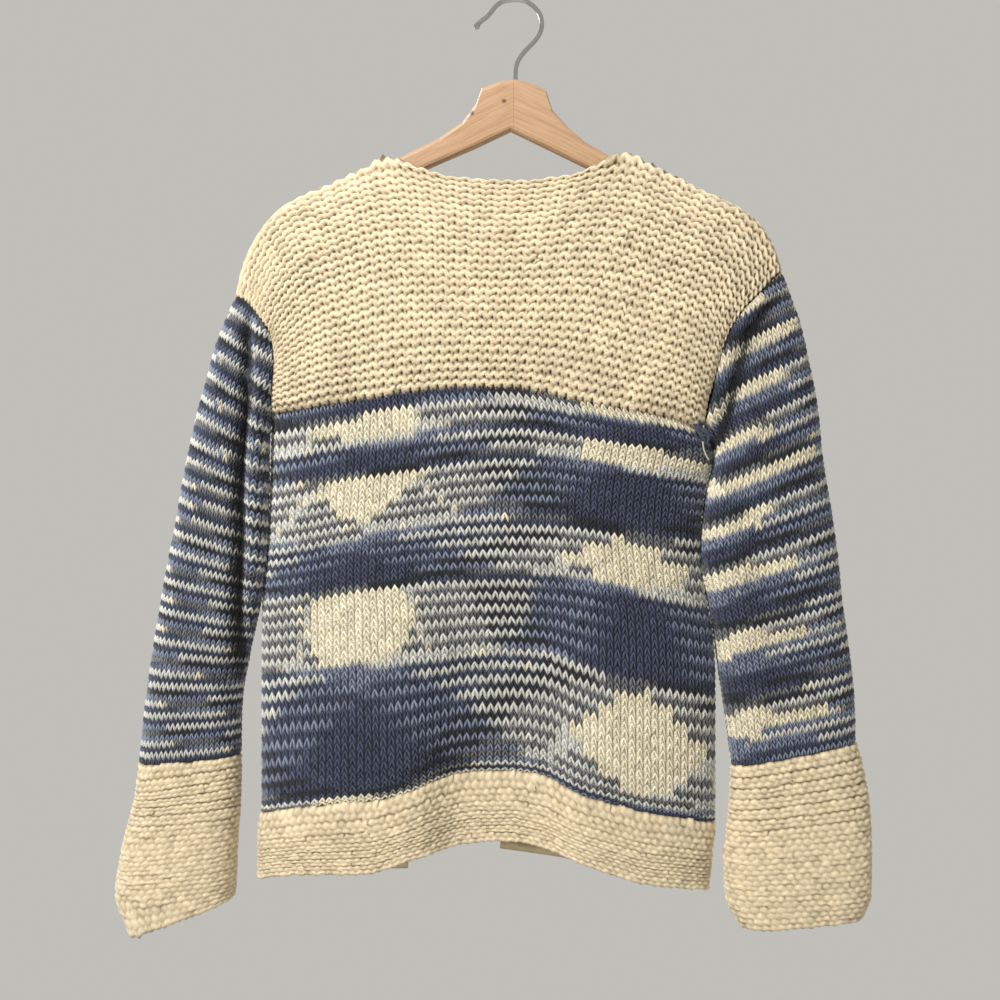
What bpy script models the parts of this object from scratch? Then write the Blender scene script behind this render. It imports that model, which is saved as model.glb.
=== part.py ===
# Hand-knitted cardigan on a wooden hanger, seen from its back.
# Origin: the inner top of the hook's bend. +Z is up, -Y is the cardigan's back, +Y its open front.
# Every table is in millimetres. A cloth piece is a thin shell round a middle surface.
import math

import bpy
import numpy as np

MM = 0.001
GAP = 0.3
STOCKINETTE = 4.2
GARTER = 5.0
SEWN = 0.6
YOKE_ROUND = 9.0
NECK_DEPTH = 16.0
UNDERARM_PUSH = 5.6
ARMHOLE_DEPTH = 21.0
WOOD_HALF = 6.0
WOOD_CORNER = 5.0
WIRE_RADIUS = 2.2
HOLE_RADIUS = 2.6
HOLE_BOTTOM = -84.0

# The body tube by height: v is 0 at the yoke line, 1 at the hem line and 2 at the hem's edge.
BODY = np.array([
    # v, left side x, right side x, left front edge x, right front edge x, back depth, front depth
    (0.00, -226.1, 173.5, -68.0, 32.0, 27.0, 26.0),
    (0.05, -226.4, 182.0, -69.5, 30.0, 27.0, 26.0),
    (0.10, -227.0, 183.9, -71.0, 28.0, 27.2, 26.1),
    (0.16, -227.6, 180.1, -72.6, 25.5, 27.5, 26.2),
    (0.24, -228.6, 174.9, -75.0, 22.0, 28.0, 26.3),
    (0.35, -231.0, 172.1, -78.0, 18.0, 28.3, 26.5),
    (0.50, -235.0, 178.2, -82.5, 11.0, 29.0, 26.8),
    (0.56, -235.3, 183.3, -84.0, 9.0, 29.2, 27.0),
    (0.66, -235.5, 185.7, -87.0, 4.0, 29.8, 27.2),
    (1.00, -235.9, 185.7, -97.0, -9.0, 31.0, 27.6),
    (1.12, -239.0, 184.6, -98.0, -10.0, 31.2, 27.7),
    (2.00, -239.3, 179.6, -102.7, -14.1, 32.0, 28.0),
])
# Heights of the knitted rows across the back, left side to right side.
ACROSS = np.array((-1, -0.92, -0.8, -0.65, -0.5, -0.35, -0.2, -0.05, 0.1, 0.25, 0.4, 0.55, 0.7, 0.85, 1))
ROWS = np.array([
    # v, then z at each place across
    (0.00, -387.3, -385.7, -382.2, -378.1, -373.8, -369.3, -366.1, -364.6,
     -365.0, -369.6, -376.4, -382.6, -386.9, -392.4, -403.3),
    (0.20, -465.8, -463.1, -458.5, -452.8, -448.7, -444.5, -440.1, -436.3,
     -434.4, -435.4, -438.4, -442.7, -447.2, -451.6, -455.6),
    (0.56, -585.3, -582.3, -578.7, -573.0, -568.1, -564.6, -562.0, -560.5,
     -560.2, -561.3, -565.2, -571.4, -577.9, -584.1, -591.4),
    (0.71, -642.7, -638.8, -635.3, -631.6, -627.4, -623.4, -620.4, -616.0,
     -615.1, -617.8, -630.4, -641.0, -645.9, -650.7, -657.7),
    (1.00, -760.3, -755.4, -750.9, -746.1, -743.1, -735.6, -723.9, -719.8,
     -719.2, -723.6, -738.0, -746.9, -755.2, -760.7, -768.7),
    (2.00, -822.4, -816.5, -812.6, -811.4, -810.0, -800.1, -792.2, -786.7,
     -785.7, -789.9, -799.7, -809.6, -820.0, -825.1, -831.9),
])
# Heights of the same rows on the two fronts, half way along and at the open edge.
FRONT_ROWS = np.array([
    # v, left half way, left edge, right half way, right edge
    (0.00, -384.5, -383.0, -392.0, -386.0),
    (0.20, -462.5, -460.0, -452.0, -446.0),
    (0.56, -585.0, -584.0, -584.0, -574.0),
    (0.71, -642.0, -641.0, -648.0, -634.0),
    (1.00, -760.0, -760.0, -761.0, -741.0),
    (2.00, -823.0, -822.0, -823.0, -803.0),
])
# The middle of the back sinks towards the fronts near the hem, between two flanks.
RECESS = {"left": -73.0, "left_width": 9.0, "right": 44.0, "right_width": 11.0, "depth": 20.0, "from": 0.45}

# The yoke's ridge over the hanger, its neck edge, and the armhole edges of the back.
RIDGE_LEFT = np.array([
    # x, z
    (-259.8, -276.9), (-253.3, -248.9), (-245.0, -229.5), (-234.9, -213.0), (-219.3, -196.6),
    (-203.8, -186.8), (-187.0, -179.0), (-163.5, -168.2), (-140.0, -156.6), (-120.8, -145.2),
])
NECK = np.array([
    # x, z
    (-120.8, -145.2), (-110.5, -150.8), (-83.0, -161.8), (-53.1, -169.1), (-23.4, -171.4), (2.6, -171.9),
    (27.7, -170.0), (49.0, -167.2), (66.0, -161.8), (87.9, -149.5), (105.1, -142.2),
])
RIDGE_RIGHT = np.array([
    # x, z
    (105.1, -142.2), (116.5, -148.6), (136.1, -159.0), (153.0, -167.6), (169.1, -176.0),
    (194.4, -187.6), (215.7, -199.4), (230.2, -213.0), (241.2, -232.2), (247.7, -252.7),
])
ARMHOLE = {
    # x, z from the shoulder tip to the underarm
    -1: np.array([(-259.8, -276.9), (-247.2, -285.2), (-233.2, -302.6), (-224.7, -317.0),
                  (-221.0, -340.6), (-223.5, -366.0), (-226.1, -387.3)]),
    1: np.array([(247.7, -252.7), (232.9, -268.5), (208.7, -293.4), (193.7, -318.5),
                 (182.6, -355.4), (176.1, -382.7), (173.5, -403.3)]),
}
# The fronts' neck edges, from the shoulder to the corner at the open edge.
FRONT_NECK = {
    # x, y, z
    -1: np.array([(-120.8, 0.0, -145.2), (-116.5, 11.0, -149.6), (-104.0, 14.5, -166.0),
                  (-86.0, 18.0, -191.0), (-67.5, 24.0, -218.6)]),
    1: np.array([(105.1, 0.0, -142.2), (101.0, 11.0, -147.0), (86.0, 14.5, -163.0),
                 (61.0, 18.0, -189.0), (36.0, 24.0, -217.0)]),
}

# The sleeves by length: v is 0 at the shoulder tip and 1 at the cuff.
SLEEVE = {
    # v, inner x, inner z, outer x, outer z, half depth
    -1: np.array([
        (0.00, -196.0, -319.0, -261.8, -278.2, 19.0),
        (0.09, -212.0, -356.0, -276.9, -315.8, 20.0),
        (0.17, -230.5, -388.0, -285.3, -349.7, 20.5),
        (0.25, -233.5, -419.2, -294.7, -383.5, 20.5),
        (0.33, -234.3, -452.1, -303.2, -420.2, 20.5),
        (0.42, -235.3, -486.9, -310.7, -457.8, 20.5),
        (0.48, -236.2, -513.2, -315.4, -486.0, 20.5),
        (0.58, -241.0, -550.8, -323.9, -530.1, 20.0),
        (0.73, -250.5, -606.3, -335.2, -595.0, 19.0),
        (0.87, -258.9, -658.0, -344.6, -659.9, 18.0),
        (1.00, -259.9, -705.9, -350.2, -714.4, 17.5),
    ]),
    1: np.array([
        (0.00, 176.2, -287.6, 248.7, -251.9, 19.0),
        (0.11, 176.2, -342.1, 264.7, -299.8, 20.0),
        (0.20, 179.5, -386.3, 274.1, -342.1, 21.0),
        (0.29, 189.8, -423.0, 281.6, -381.6, 21.0),
        (0.39, 182.2, -470.9, 286.3, -427.7, 21.0),
        (0.52, 178.4, -525.4, 295.7, -485.0, 21.0),
        (0.61, 183.2, -562.1, 301.3, -526.4, 20.5),
        (0.70, 189.6, -597.8, 305.1, -565.9, 20.0),
        (0.76, 192.3, -620.4, 308.8, -590.3, 19.5),
        (0.92, 201.6, -684.3, 316.4, -659.9, 18.0),
        (1.00, 205.3, -716.3, 317.3, -694.6, 17.5),
    ]),
}
CUFF = {
    # v, inner x, inner z, outer x, outer z, half depth
    -1: np.array([
        (0.00, -259.9, -706.3, -350.3, -714.8, 17.5),
        (0.12, -259.9, -723.8, -353.0, -738.8, 18.0),
        (0.35, -260.8, -755.7, -358.7, -764.2, 19.0),
        (0.60, -263.6, -792.4, -368.1, -804.6, 21.0),
        (0.85, -264.6, -825.3, -371.8, -837.5, 22.5),
        (1.00, -266.4, -840.3, -358.7, -874.2, 22.0),
    ]),
    1: np.array([
        (0.00, 205.3, -716.7, 317.4, -695.0, 17.5),
        (0.12, 204.4, -736.0, 323.9, -717.2, 18.0),
        (0.35, 202.5, -768.9, 330.5, -754.8, 19.0),
        (0.60, 198.8, -806.5, 332.3, -797.1, 21.0),
        (0.85, 200.6, -841.3, 331.4, -837.5, 22.5),
        (1.00, 213.7, -866.9, 323.9, -857.4, 22.0),
    ]),
}
# Long creases down the backs of the sleeves.
CREASE = {
    # z, x, depth, width
    -1: np.array([(-290.0, -245.4, 0.0, 6.0), (-325.0, -246.6, 6.0, 6.0), (-370.0, -248.2, 9.0, 6.5),
                  (-443.0, -252.8, 10.0, 7.0), (-561.0, -255.6, 9.0, 7.0), (-637.0, -262.2, 4.0, 8.0),
                  (-690.0, -268.0, 0.0, 9.0)]),
    1: np.array([(-300.0, 206.0, 0.0, 8.0), (-360.0, 204.0, 3.0, 9.0), (-450.0, 208.0, 2.0, 11.0),
                 (-560.0, 232.0, 3.0, 13.0), (-660.0, 246.0, 2.0, 12.0), (-710.0, 250.0, 0.0, 12.0)]),
}

# The hanger's wood: upper and lower outline.
WOOD_TOP = np.array([
    # x, z
    (-214.3, -198.4), (-183.3, -183.6), (-121.3, -153.2), (-70.5, -127.8), (-48.9, -112.8), (-36.2, -95.9),
    (-31.0, -81.3), (-14.1, -75.2), (0.9, -73.3), (18.8, -78.0), (29.1, -83.6), (34.8, -101.5),
    (49.8, -118.4), (64.9, -131.6), (87.4, -144.6), (114.7, -157.6), (137.2, -168.6), (173.9, -186.4),
    (202.1, -200.0), (216.1, -207.0),
])
WOOD_UNDER = np.array([
    # x, z
    (-214.3, -217.2), (-183.3, -203.1), (-121.3, -174.9), (-70.5, -152.3), (-37.6, -138.2), (-3.8, -122.2),
    (32.9, -140.0), (67.7, -157.0), (126.9, -185.2), (173.9, -207.8), (216.1, -226.7),
])
# The hook's wire, from its tip over the bend to the end of its stem.
HOOK = np.array([
    # x, z
    (-35.7, -22.6), (-32.9, -18.9), (-27.3, -14.9), (-22.4, -9.6), (-17.9, -3.9), (-10.3, 0.9), (-0.5, 2.2),
    (7.5, 1.6), (14.0, -1.5), (20.2, -6.9), (24.4, -14.1), (25.4, -21.6), (24.4, -27.2), (21.6, -32.9),
    (17.9, -37.6), (13.2, -42.3), (5.2, -51.7), (1.8, -58.3), (0.6, -65.0), (0.5, -83.4),
])


def smooth(table, column, at):
    """A column of a table read at `at`, by a monotone cubic through its rows."""
    key = table[:, 0]
    value = table[:, column]
    at = np.clip(np.asarray(at, float), key[0], key[-1])
    step = np.diff(key)
    slope = np.diff(value) / step
    bend = np.zeros(len(key))
    same = slope[:-1] * slope[1:] > 0
    first = 2 * step[1:] + step[:-1]
    second = step[1:] + 2 * step[:-1]
    with np.errstate(divide="ignore", invalid="ignore"):
        mean = (first + second) / (first / slope[:-1] + second / slope[1:])
    bend[1:-1] = np.where(same, mean, 0.0)
    bend[0] = slope[0]
    bend[-1] = slope[-1]
    k = np.clip(np.searchsorted(key, at, side="right") - 1, 0, len(step) - 1)
    t = (at - key[k]) / step[k]
    return (
        (1 + 2 * t) * (1 - t) ** 2 * value[k]
        + t * (1 - t) ** 2 * step[k] * bend[k]
        + t * t * (3 - 2 * t) * value[k + 1]
        + t * t * (t - 1) * step[k] * bend[k + 1]
    )


def along(points, at):
    """Points at fractions of the length of a smoothed line through `points`."""
    points = np.asarray(points, float)
    steps = np.linalg.norm(np.diff(points, axis=0), axis=1)
    key = np.concatenate([[0], np.cumsum(steps)])
    table = np.column_stack([key, points])
    where = np.asarray(at, float) * key[-1]
    return np.stack([smooth(table, c, where) for c in range(1, table.shape[1])], axis=-1)


def even(line, at):
    """Points at fractions of the length of a dense line."""
    steps = np.linalg.norm(np.diff(line, axis=0), axis=1)
    key = np.concatenate([[0], np.cumsum(steps)])
    where = np.asarray(at, float) * key[-1]
    return np.stack([np.interp(where, key, line[:, c]) for c in range(line.shape[1])], axis=-1)


def ease(t):
    t = np.clip(t, 0, 1)
    return t * t * (3 - 2 * t)


def recess(x, v):
    """How far the middle of the back sinks at this height."""
    size = RECESS["depth"] * max(0.0, (min(v, 1.0) - RECESS["from"]) / (1 - RECESS["from"])) ** 1.3
    size += 3.0 * max(0.0, v - 1)
    left = 1 / (1 + np.exp(-(x - RECESS["left"]) / RECESS["left_width"]))
    right = 1 / (1 + np.exp((x - RECESS["right"]) / RECESS["right_width"]))
    return size * left * right


def body_row(v, at):
    """A row of the body: `at` runs 0-1 over the left front, 1-2 over the back, 2-3 over the right front."""
    left, right, front_left, front_right, back_depth, front_depth = (smooth(BODY, c, v) for c in range(1, 7))
    middle = (left + right) / 2
    half = (right - left) / 2
    side_z = smooth(ROWS, 1, v), smooth(ROWS, 15, v)
    row_z = np.array([smooth(ROWS, c + 1, v) for c in range(len(ACROSS))])
    spans = (
        (math.asin((middle - front_left) / half), math.pi / 2),
        (math.pi / 2, 3 * math.pi / 2),
        (3 * math.pi / 2, 2 * math.pi - math.asin((front_right - middle) / half)),
    )
    at = np.asarray(at, float)
    out = np.zeros((len(at), 3))
    for part, (first, last) in enumerate(spans):
        angle = np.linspace(first, last, 241)
        s = -np.sin(angle)
        x = middle + half * s
        depth = back_depth if part == 1 else front_depth
        y = depth * np.cos(angle) * np.sqrt(1 + s * s)
        if part == 1:
            z = smooth(np.column_stack([ACROSS, row_z]), 1, s)
            y = y + recess(x, v) * (1 - s**8)
        else:
            c = 1 if part == 0 else 3
            fraction = (angle - first) / (last - first)
            if part == 0:
                fraction = 1 - fraction
            z_line = np.array([
                (0.0, side_z[0 if part == 0 else 1]),
                (0.5, smooth(FRONT_ROWS, c, v)),
                (1.0, smooth(FRONT_ROWS, c + 1, v)),
            ])
            z = smooth(z_line, 1, fraction)
        low = part if part == 0 else part - 1e-12
        chosen = (at >= low) & (at <= part + 1)
        out[chosen] = even(np.column_stack([x, y, z]), at[chosen] - part)
    return out


def armhole_edge(side, v):
    """The armhole edge of the back yoke before its ridge is rounded, shoulder tip to underarm."""
    xz = along(ARMHOLE[side], v)
    share = YOKE_ROUND / ARMHOLE_DEPTH
    grow = share + (1 - share) * ease(v / 0.35)
    y = -np.maximum(ARMHOLE_DEPTH * grow * np.sqrt(np.clip(1 - v**4, 0, 1)), GAP / 2)
    return np.stack([xz[..., 0], y, xz[..., 1]], axis=-1)


def sheet_over_ridge(top, round_by, bottom, first, last, u, rows, swell, face):
    """A Coons patch between four edges whose top is rounded over the ridge. Rows run down."""
    out = np.zeros((len(rows), len(u), 3))
    length = np.linalg.norm((bottom - top)[:, [0, 2]], axis=1)
    whole = length - round_by + math.pi * round_by / 2
    quarter = math.pi * round_by / 2
    for j, v in enumerate(rows):
        s = v * whole
        radius = np.maximum(round_by, 1e-6)
        turn = np.clip(s / radius, 0, math.pi / 2)
        down = np.where(s < quarter, round_by * (1 - np.cos(turn)), round_by + s - quarter)
        part = down / length
        grown = np.where(s < quarter, np.sin(turn), 1.0)
        edge_a = first(part)
        edge_b = last(part)
        straight_a = (1 - part)[:, None] * top[0] + part[:, None] * bottom[0]
        straight_b = (1 - part)[:, None] * top[-1] + part[:, None] * bottom[-1]
        point = (1 - part)[:, None] * top + part[:, None] * bottom
        point += (1 - u)[:, None] * (edge_a - straight_a) + u[:, None] * (edge_b - straight_b)
        point[:, 1] += face * swell * np.sin(np.pi * part) * np.sin(np.pi * u) ** 0.7
        point[:, 1] -= face * round_by * (1 - grown)
        out[j] = point
    return out


def back_yoke(u, rows):
    u = np.asarray(u, float)
    top = np.zeros((len(u), 3))
    parts = ((0, 0.31, RIDGE_LEFT), (0.31, 0.67, NECK), (0.67, 1.0, RIDGE_RIGHT))
    for start, end, line in parts:
        chosen = (u >= start) & (u <= end)
        top[chosen] = along(line, (u[chosen] - start) / (end - start))[:, [0, 0, 1]]
    in_neck = ease(np.minimum(u - 0.31, 0.67 - u) / 0.035)
    round_by = YOKE_ROUND * (1 - in_neck)
    top[:, 1] = -round_by - NECK_DEPTH * in_neck
    return sheet_over_ridge(
        top, round_by, body_row(0.0, 1 + u), lambda v: armhole_edge(-1, v), lambda v: armhole_edge(1, v),
        u, rows, -6.0, -1.0,
    )


def front_yoke(side, u, rows):
    """u is 0 at the armhole and 1 at the open edge."""
    u = np.asarray(u, float)
    ridge = RIDGE_LEFT if side < 0 else RIDGE_RIGHT[::-1]
    top = np.zeros((len(u), 3))
    on_ridge = u <= 0.66
    top[on_ridge] = along(ridge, u[on_ridge] / 0.66)[:, [0, 0, 1]]
    top[on_ridge, 1] = 0.0
    top[~on_ridge] = along(FRONT_NECK[side], (u[~on_ridge] - 0.66) / 0.34)
    round_by = YOKE_ROUND * (1 - ease((u - 0.66) / 0.10))
    top[:, 1] += round_by
    bottom = body_row(0.0, 1 - u if side < 0 else 2 + u)
    corner = FRONT_NECK[side][-1]
    foot = bottom[-1]

    def armhole(v):
        return armhole_edge(side, v) * np.array((1.0, -1.0, 1.0))

    def open_edge(v):
        return (1 - v)[:, None] * corner + v[:, None] * foot

    return sheet_over_ridge(top, round_by, bottom, armhole, open_edge, u, rows, -2.5, 1.0)


def ring(table, v, f, crease=None):
    """A flattened ring round a sleeve or cuff: f runs 0 at the inner side, 0.5 at the outer side, 1."""
    ix, iz, ox, oz, depth = (float(smooth(table, c, v)) for c in range(1, 6))
    angle = np.linspace(-math.pi / 2, math.pi / 2, 181)
    across = np.sin(angle)
    bulge = depth * np.cos(angle) * np.sqrt(1 + across * across)
    x = (ix + ox) / 2 + (ox - ix) / 2 * across
    z = (iz + oz) / 2 + (oz - iz) / 2 * across
    f = np.asarray(f, float)
    half = even(np.column_stack([x, bulge, z]), 2 * np.minimum(f, 1 - f))
    half[:, 1] *= np.where(f <= 0.5, -1.0, 1.0)
    if crease is not None:
        middle = smooth(-crease * np.array((1, -1, -1, -1)), 1, -half[:, 2])
        deep = smooth(-crease * np.array((1, -1, -1, -1)), 2, -half[:, 2])
        width = smooth(-crease * np.array((1, -1, -1, -1)), 3, -half[:, 2])
        groove = deep * np.exp(-(((half[:, 0] - middle) / width) ** 2))
        half[:, 1] += groove * (half[:, 1] < 0)
    return half


def armhole_start(side, edge_rows):
    """The line where a sleeve starts: the yoke's armhole edge moved out by the gap, underarm to tip."""
    edge = back_yoke(np.array((0.0, 1.0)), edge_rows[::-1])[:, 0 if side < 0 else 1]
    key = 1 - edge_rows[::-1]
    tangent = np.gradient(edge, key, axis=0)
    tangent /= np.linalg.norm(tangent, axis=1)[:, None]
    out_of_edge = np.stack([side * np.abs(tangent[:, 2]), 0 * key, -np.abs(tangent[:, 0])], axis=1)
    push = ease(1 - key / 0.5)
    moved = edge + out_of_edge * GAP * 2
    moved[:, 0] += side * UNDERARM_PUSH * push
    moved[:, 2] += 1.0 * push
    return key, moved


def meeting(side, key, moved):
    """For places round the half ring: the length where each meets the armhole, and the place on it."""
    g = np.linspace(0, 0.5, 101)
    scan = np.linspace(0, 0.45, 226)
    lines = np.stack([ring(SLEEVE[side], v, g) for v in scan])
    edge_x = np.interp(-lines[:, :, 2], -moved[::-1, 2], moved[::-1, 0])
    outside = side * (lines[:, :, 0] - edge_x) > 0
    outside |= lines[:, :, 2] < moved[0, 2]
    outside[0] = False
    last = outside.shape[0] - 1 - np.argmin(outside[::-1], axis=0)
    start = scan[last]
    met = np.interp(-lines[last, np.arange(len(g)), 2], -moved[::-1, 2], key[::-1])
    met = np.maximum.accumulate(np.clip(met - met[0] * (1 - 2 * g) ** 3, 0, 1))
    met = met + np.linspace(0, 1e-6, len(g))
    met[-1] = 1.0
    return g, start, met


def sleeve(side, f, rows, edge_rows):
    """Rows run from the armhole to the cuff. Each column starts where it meets the armhole edge."""
    key, moved = armhole_start(side, edge_rows)
    g_scan, start_scan, met_scan = meeting(side, key, moved)
    g = np.minimum(f, 1 - f)
    start = np.interp(g, g_scan, start_scan)
    met = np.interp(g, g_scan, met_scan)
    target = np.stack([np.interp(met, key, moved[:, c]) for c in range(3)], axis=1)
    target[:, 1] *= np.where(f <= 0.5, 1.0, -1.0)
    out = np.zeros((len(rows), len(f), 3))
    base = np.stack([ring(SLEEVE[side], start[k], f[k:k + 1])[0] for k in range(len(f))])
    for j, t in enumerate(rows):
        v = start + (1 - start) * t
        points = np.stack([ring(SLEEVE[side], v[k], f[k:k + 1], CREASE[side])[0] for k in range(len(f))])
        near = 1 - ease((v - start) / 0.16)
        out[j] = points + near[:, None] * (target - base)
    return out


def sleeve_columns(side, edge_rows, extra):
    """Places round the sleeve that meet the yoke's rows, and some more between them."""
    key, moved = armhole_start(side, edge_rows)
    g_scan, start_scan, met_scan = meeting(side, key, moved)
    half = np.interp(key, met_scan, g_scan)
    half[0] = 0.0
    half[-1] = 0.5
    half = half[np.concatenate([[True], np.diff(half) > 0.003])]
    half[-1] = 0.5
    room = np.min(np.abs(extra[:, None] - half), axis=1)
    half = np.sort(np.concatenate([half, extra[room > 0.012]]))
    return np.concatenate([half[:-1], (1 - half[::-1])[:-1]])


def cuff(side, f, rows):
    return np.stack([ring(CUFF[side], v, f) for v in rows])


def clustered(count, share):
    """Fractions 0 to 1 that stand closer together near both ends."""
    k = np.arange(count + 1) / count
    return share * (1 - np.cos(np.pi * k)) / 2 + (1 - share) * k


def normals_of(grid, closed):
    """Unit normals of a grid of points, rows down and columns across."""
    if closed:
        wide = np.concatenate([grid[:, -1:], grid, grid[:, :1]], axis=1)
        across = wide[:, 2:] - wide[:, :-2]
    else:
        across = np.gradient(grid, axis=1)
    down = np.gradient(grid, axis=0)
    normal = np.cross(across, down)
    return normal / np.linalg.norm(normal, axis=2)[:, :, None]


def material(name, colour, roughness, metallic=0.0):
    made = bpy.data.materials.new(name)
    made.use_nodes = True
    shader = made.node_tree.nodes["Principled BSDF"]
    shader.inputs["Base Color"].default_value = (*colour, 1.0)
    shader.inputs["Roughness"].default_value = roughness
    shader.inputs["Metallic"].default_value = metallic
    return made


def add(name, points, faces, look, flat=False):
    mesh = bpy.data.meshes.new(name)
    mesh.from_pydata([tuple(p) for p in np.asarray(points) * MM], [], faces)
    mesh.validate()
    made = bpy.data.objects.new(name, mesh)
    bpy.context.scene.collection.objects.link(made)
    made.data.materials.append(look)
    if not flat:
        mesh.polygons.foreach_set("use_smooth", [True] * len(mesh.polygons))
    return made


def shell(name, grid, thick, look, closed=False, normal=None):
    """A closed thin shell round a grid of middle points."""
    rows, columns = grid.shape[:2]
    if normal is None:
        normal = normals_of(grid, closed)
    half = np.broadcast_to(thick, (rows, columns))[:, :, None] / 2
    outer = grid + normal * half
    inner = grid - normal * half
    points = np.concatenate([outer.reshape(-1, 3), inner.reshape(-1, 3)])
    count = rows * columns
    wrap = columns if closed else columns - 1
    faces = []
    for j in range(rows - 1):
        for i in range(wrap):
            a = j * columns + i
            b = j * columns + (i + 1) % columns
            c = b + columns
            d = a + columns
            faces.append((a, b, c, d))
            faces.append((count + d, count + c, count + b, count + a))
    for i in range(wrap):
        k = (i + 1) % columns
        last = (rows - 1) * columns
        faces.append((count + i, count + k, k, i))
        faces.append((last + i, last + k, count + last + k, count + last + i))
    if not closed:
        for j in range(rows - 1):
            a = j * columns
            d = a + columns
            faces.append((count + a, a, d, count + d))
            b = a + columns - 1
            c = b + columns
            faces.append((b, count + b, count + c, c))
    if volume(points, faces) < 0:
        faces = [face[::-1] for face in faces]
    return add(name, points, faces, look)


def volume(points, faces):
    total = 0.0
    for face in faces:
        for k in range(1, len(face) - 1):
            total += float(np.dot(points[face[0]], np.cross(points[face[k]], points[face[k + 1]])))
    return total / 6


def loft(name, sections, look):
    """A closed solid through a run of closed sections with the same number of points."""
    sections = np.asarray(sections)
    rows, columns = sections.shape[:2]
    points = sections.reshape(-1, 3)
    faces = []
    for j in range(rows - 1):
        for i in range(columns):
            k = (i + 1) % columns
            faces.append((j * columns + i, j * columns + k, (j + 1) * columns + k, (j + 1) * columns + i))
    faces.append(tuple(range(columns))[::-1])
    faces.append(tuple(range((rows - 1) * columns, rows * columns)))
    if volume(points, faces) < 0:
        faces = [face[::-1] for face in faces]
    return add(name, points, faces, look)


def clear_scene():
    for old in list(bpy.data.objects):
        bpy.data.objects.remove(old, do_unlink=True)


def ridge_normals(grid, normal, share):
    """Turns the first row's normals upright where the yoke lies on the ridge."""
    line = np.gradient(grid[0], axis=0)
    upright = np.stack([-line[:, 2], 0 * line[:, 0], line[:, 0]], axis=1)
    upright *= np.sign(upright[:, 2:3])
    upright /= np.linalg.norm(upright, axis=1)[:, None]
    if np.sum(normal[0] * upright) < 0:
        upright = -upright
    mixed = upright * share[:, None] + normal[0] * (1 - share[:, None])
    normal[0] = mixed / np.linalg.norm(mixed, axis=1)[:, None]


def shared_rim(normal, points, other_normal, other_points):
    """Gives rim points the normals of the nearest place on a neighbour's rim, unless they oppose."""
    for k, point in enumerate(points):
        start = other_points[:-1]
        step = np.diff(other_points, axis=0)
        t = np.clip(np.sum((point - start) * step, axis=1) / np.sum(step * step, axis=1), 0, 1)
        near = int(np.argmin(np.linalg.norm(start + t[:, None] * step - point, axis=1)))
        theirs = other_normal[near] * (1 - t[near]) + other_normal[near + 1] * t[near]
        theirs = theirs / np.linalg.norm(theirs)
        agree = float(np.dot(theirs, normal[k]))
        share = float(ease((agree - 0.1) / 0.5))
        mixed = theirs * share + normal[k] * (1 - share)
        normal[k] = mixed / np.linalg.norm(mixed)


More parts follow.
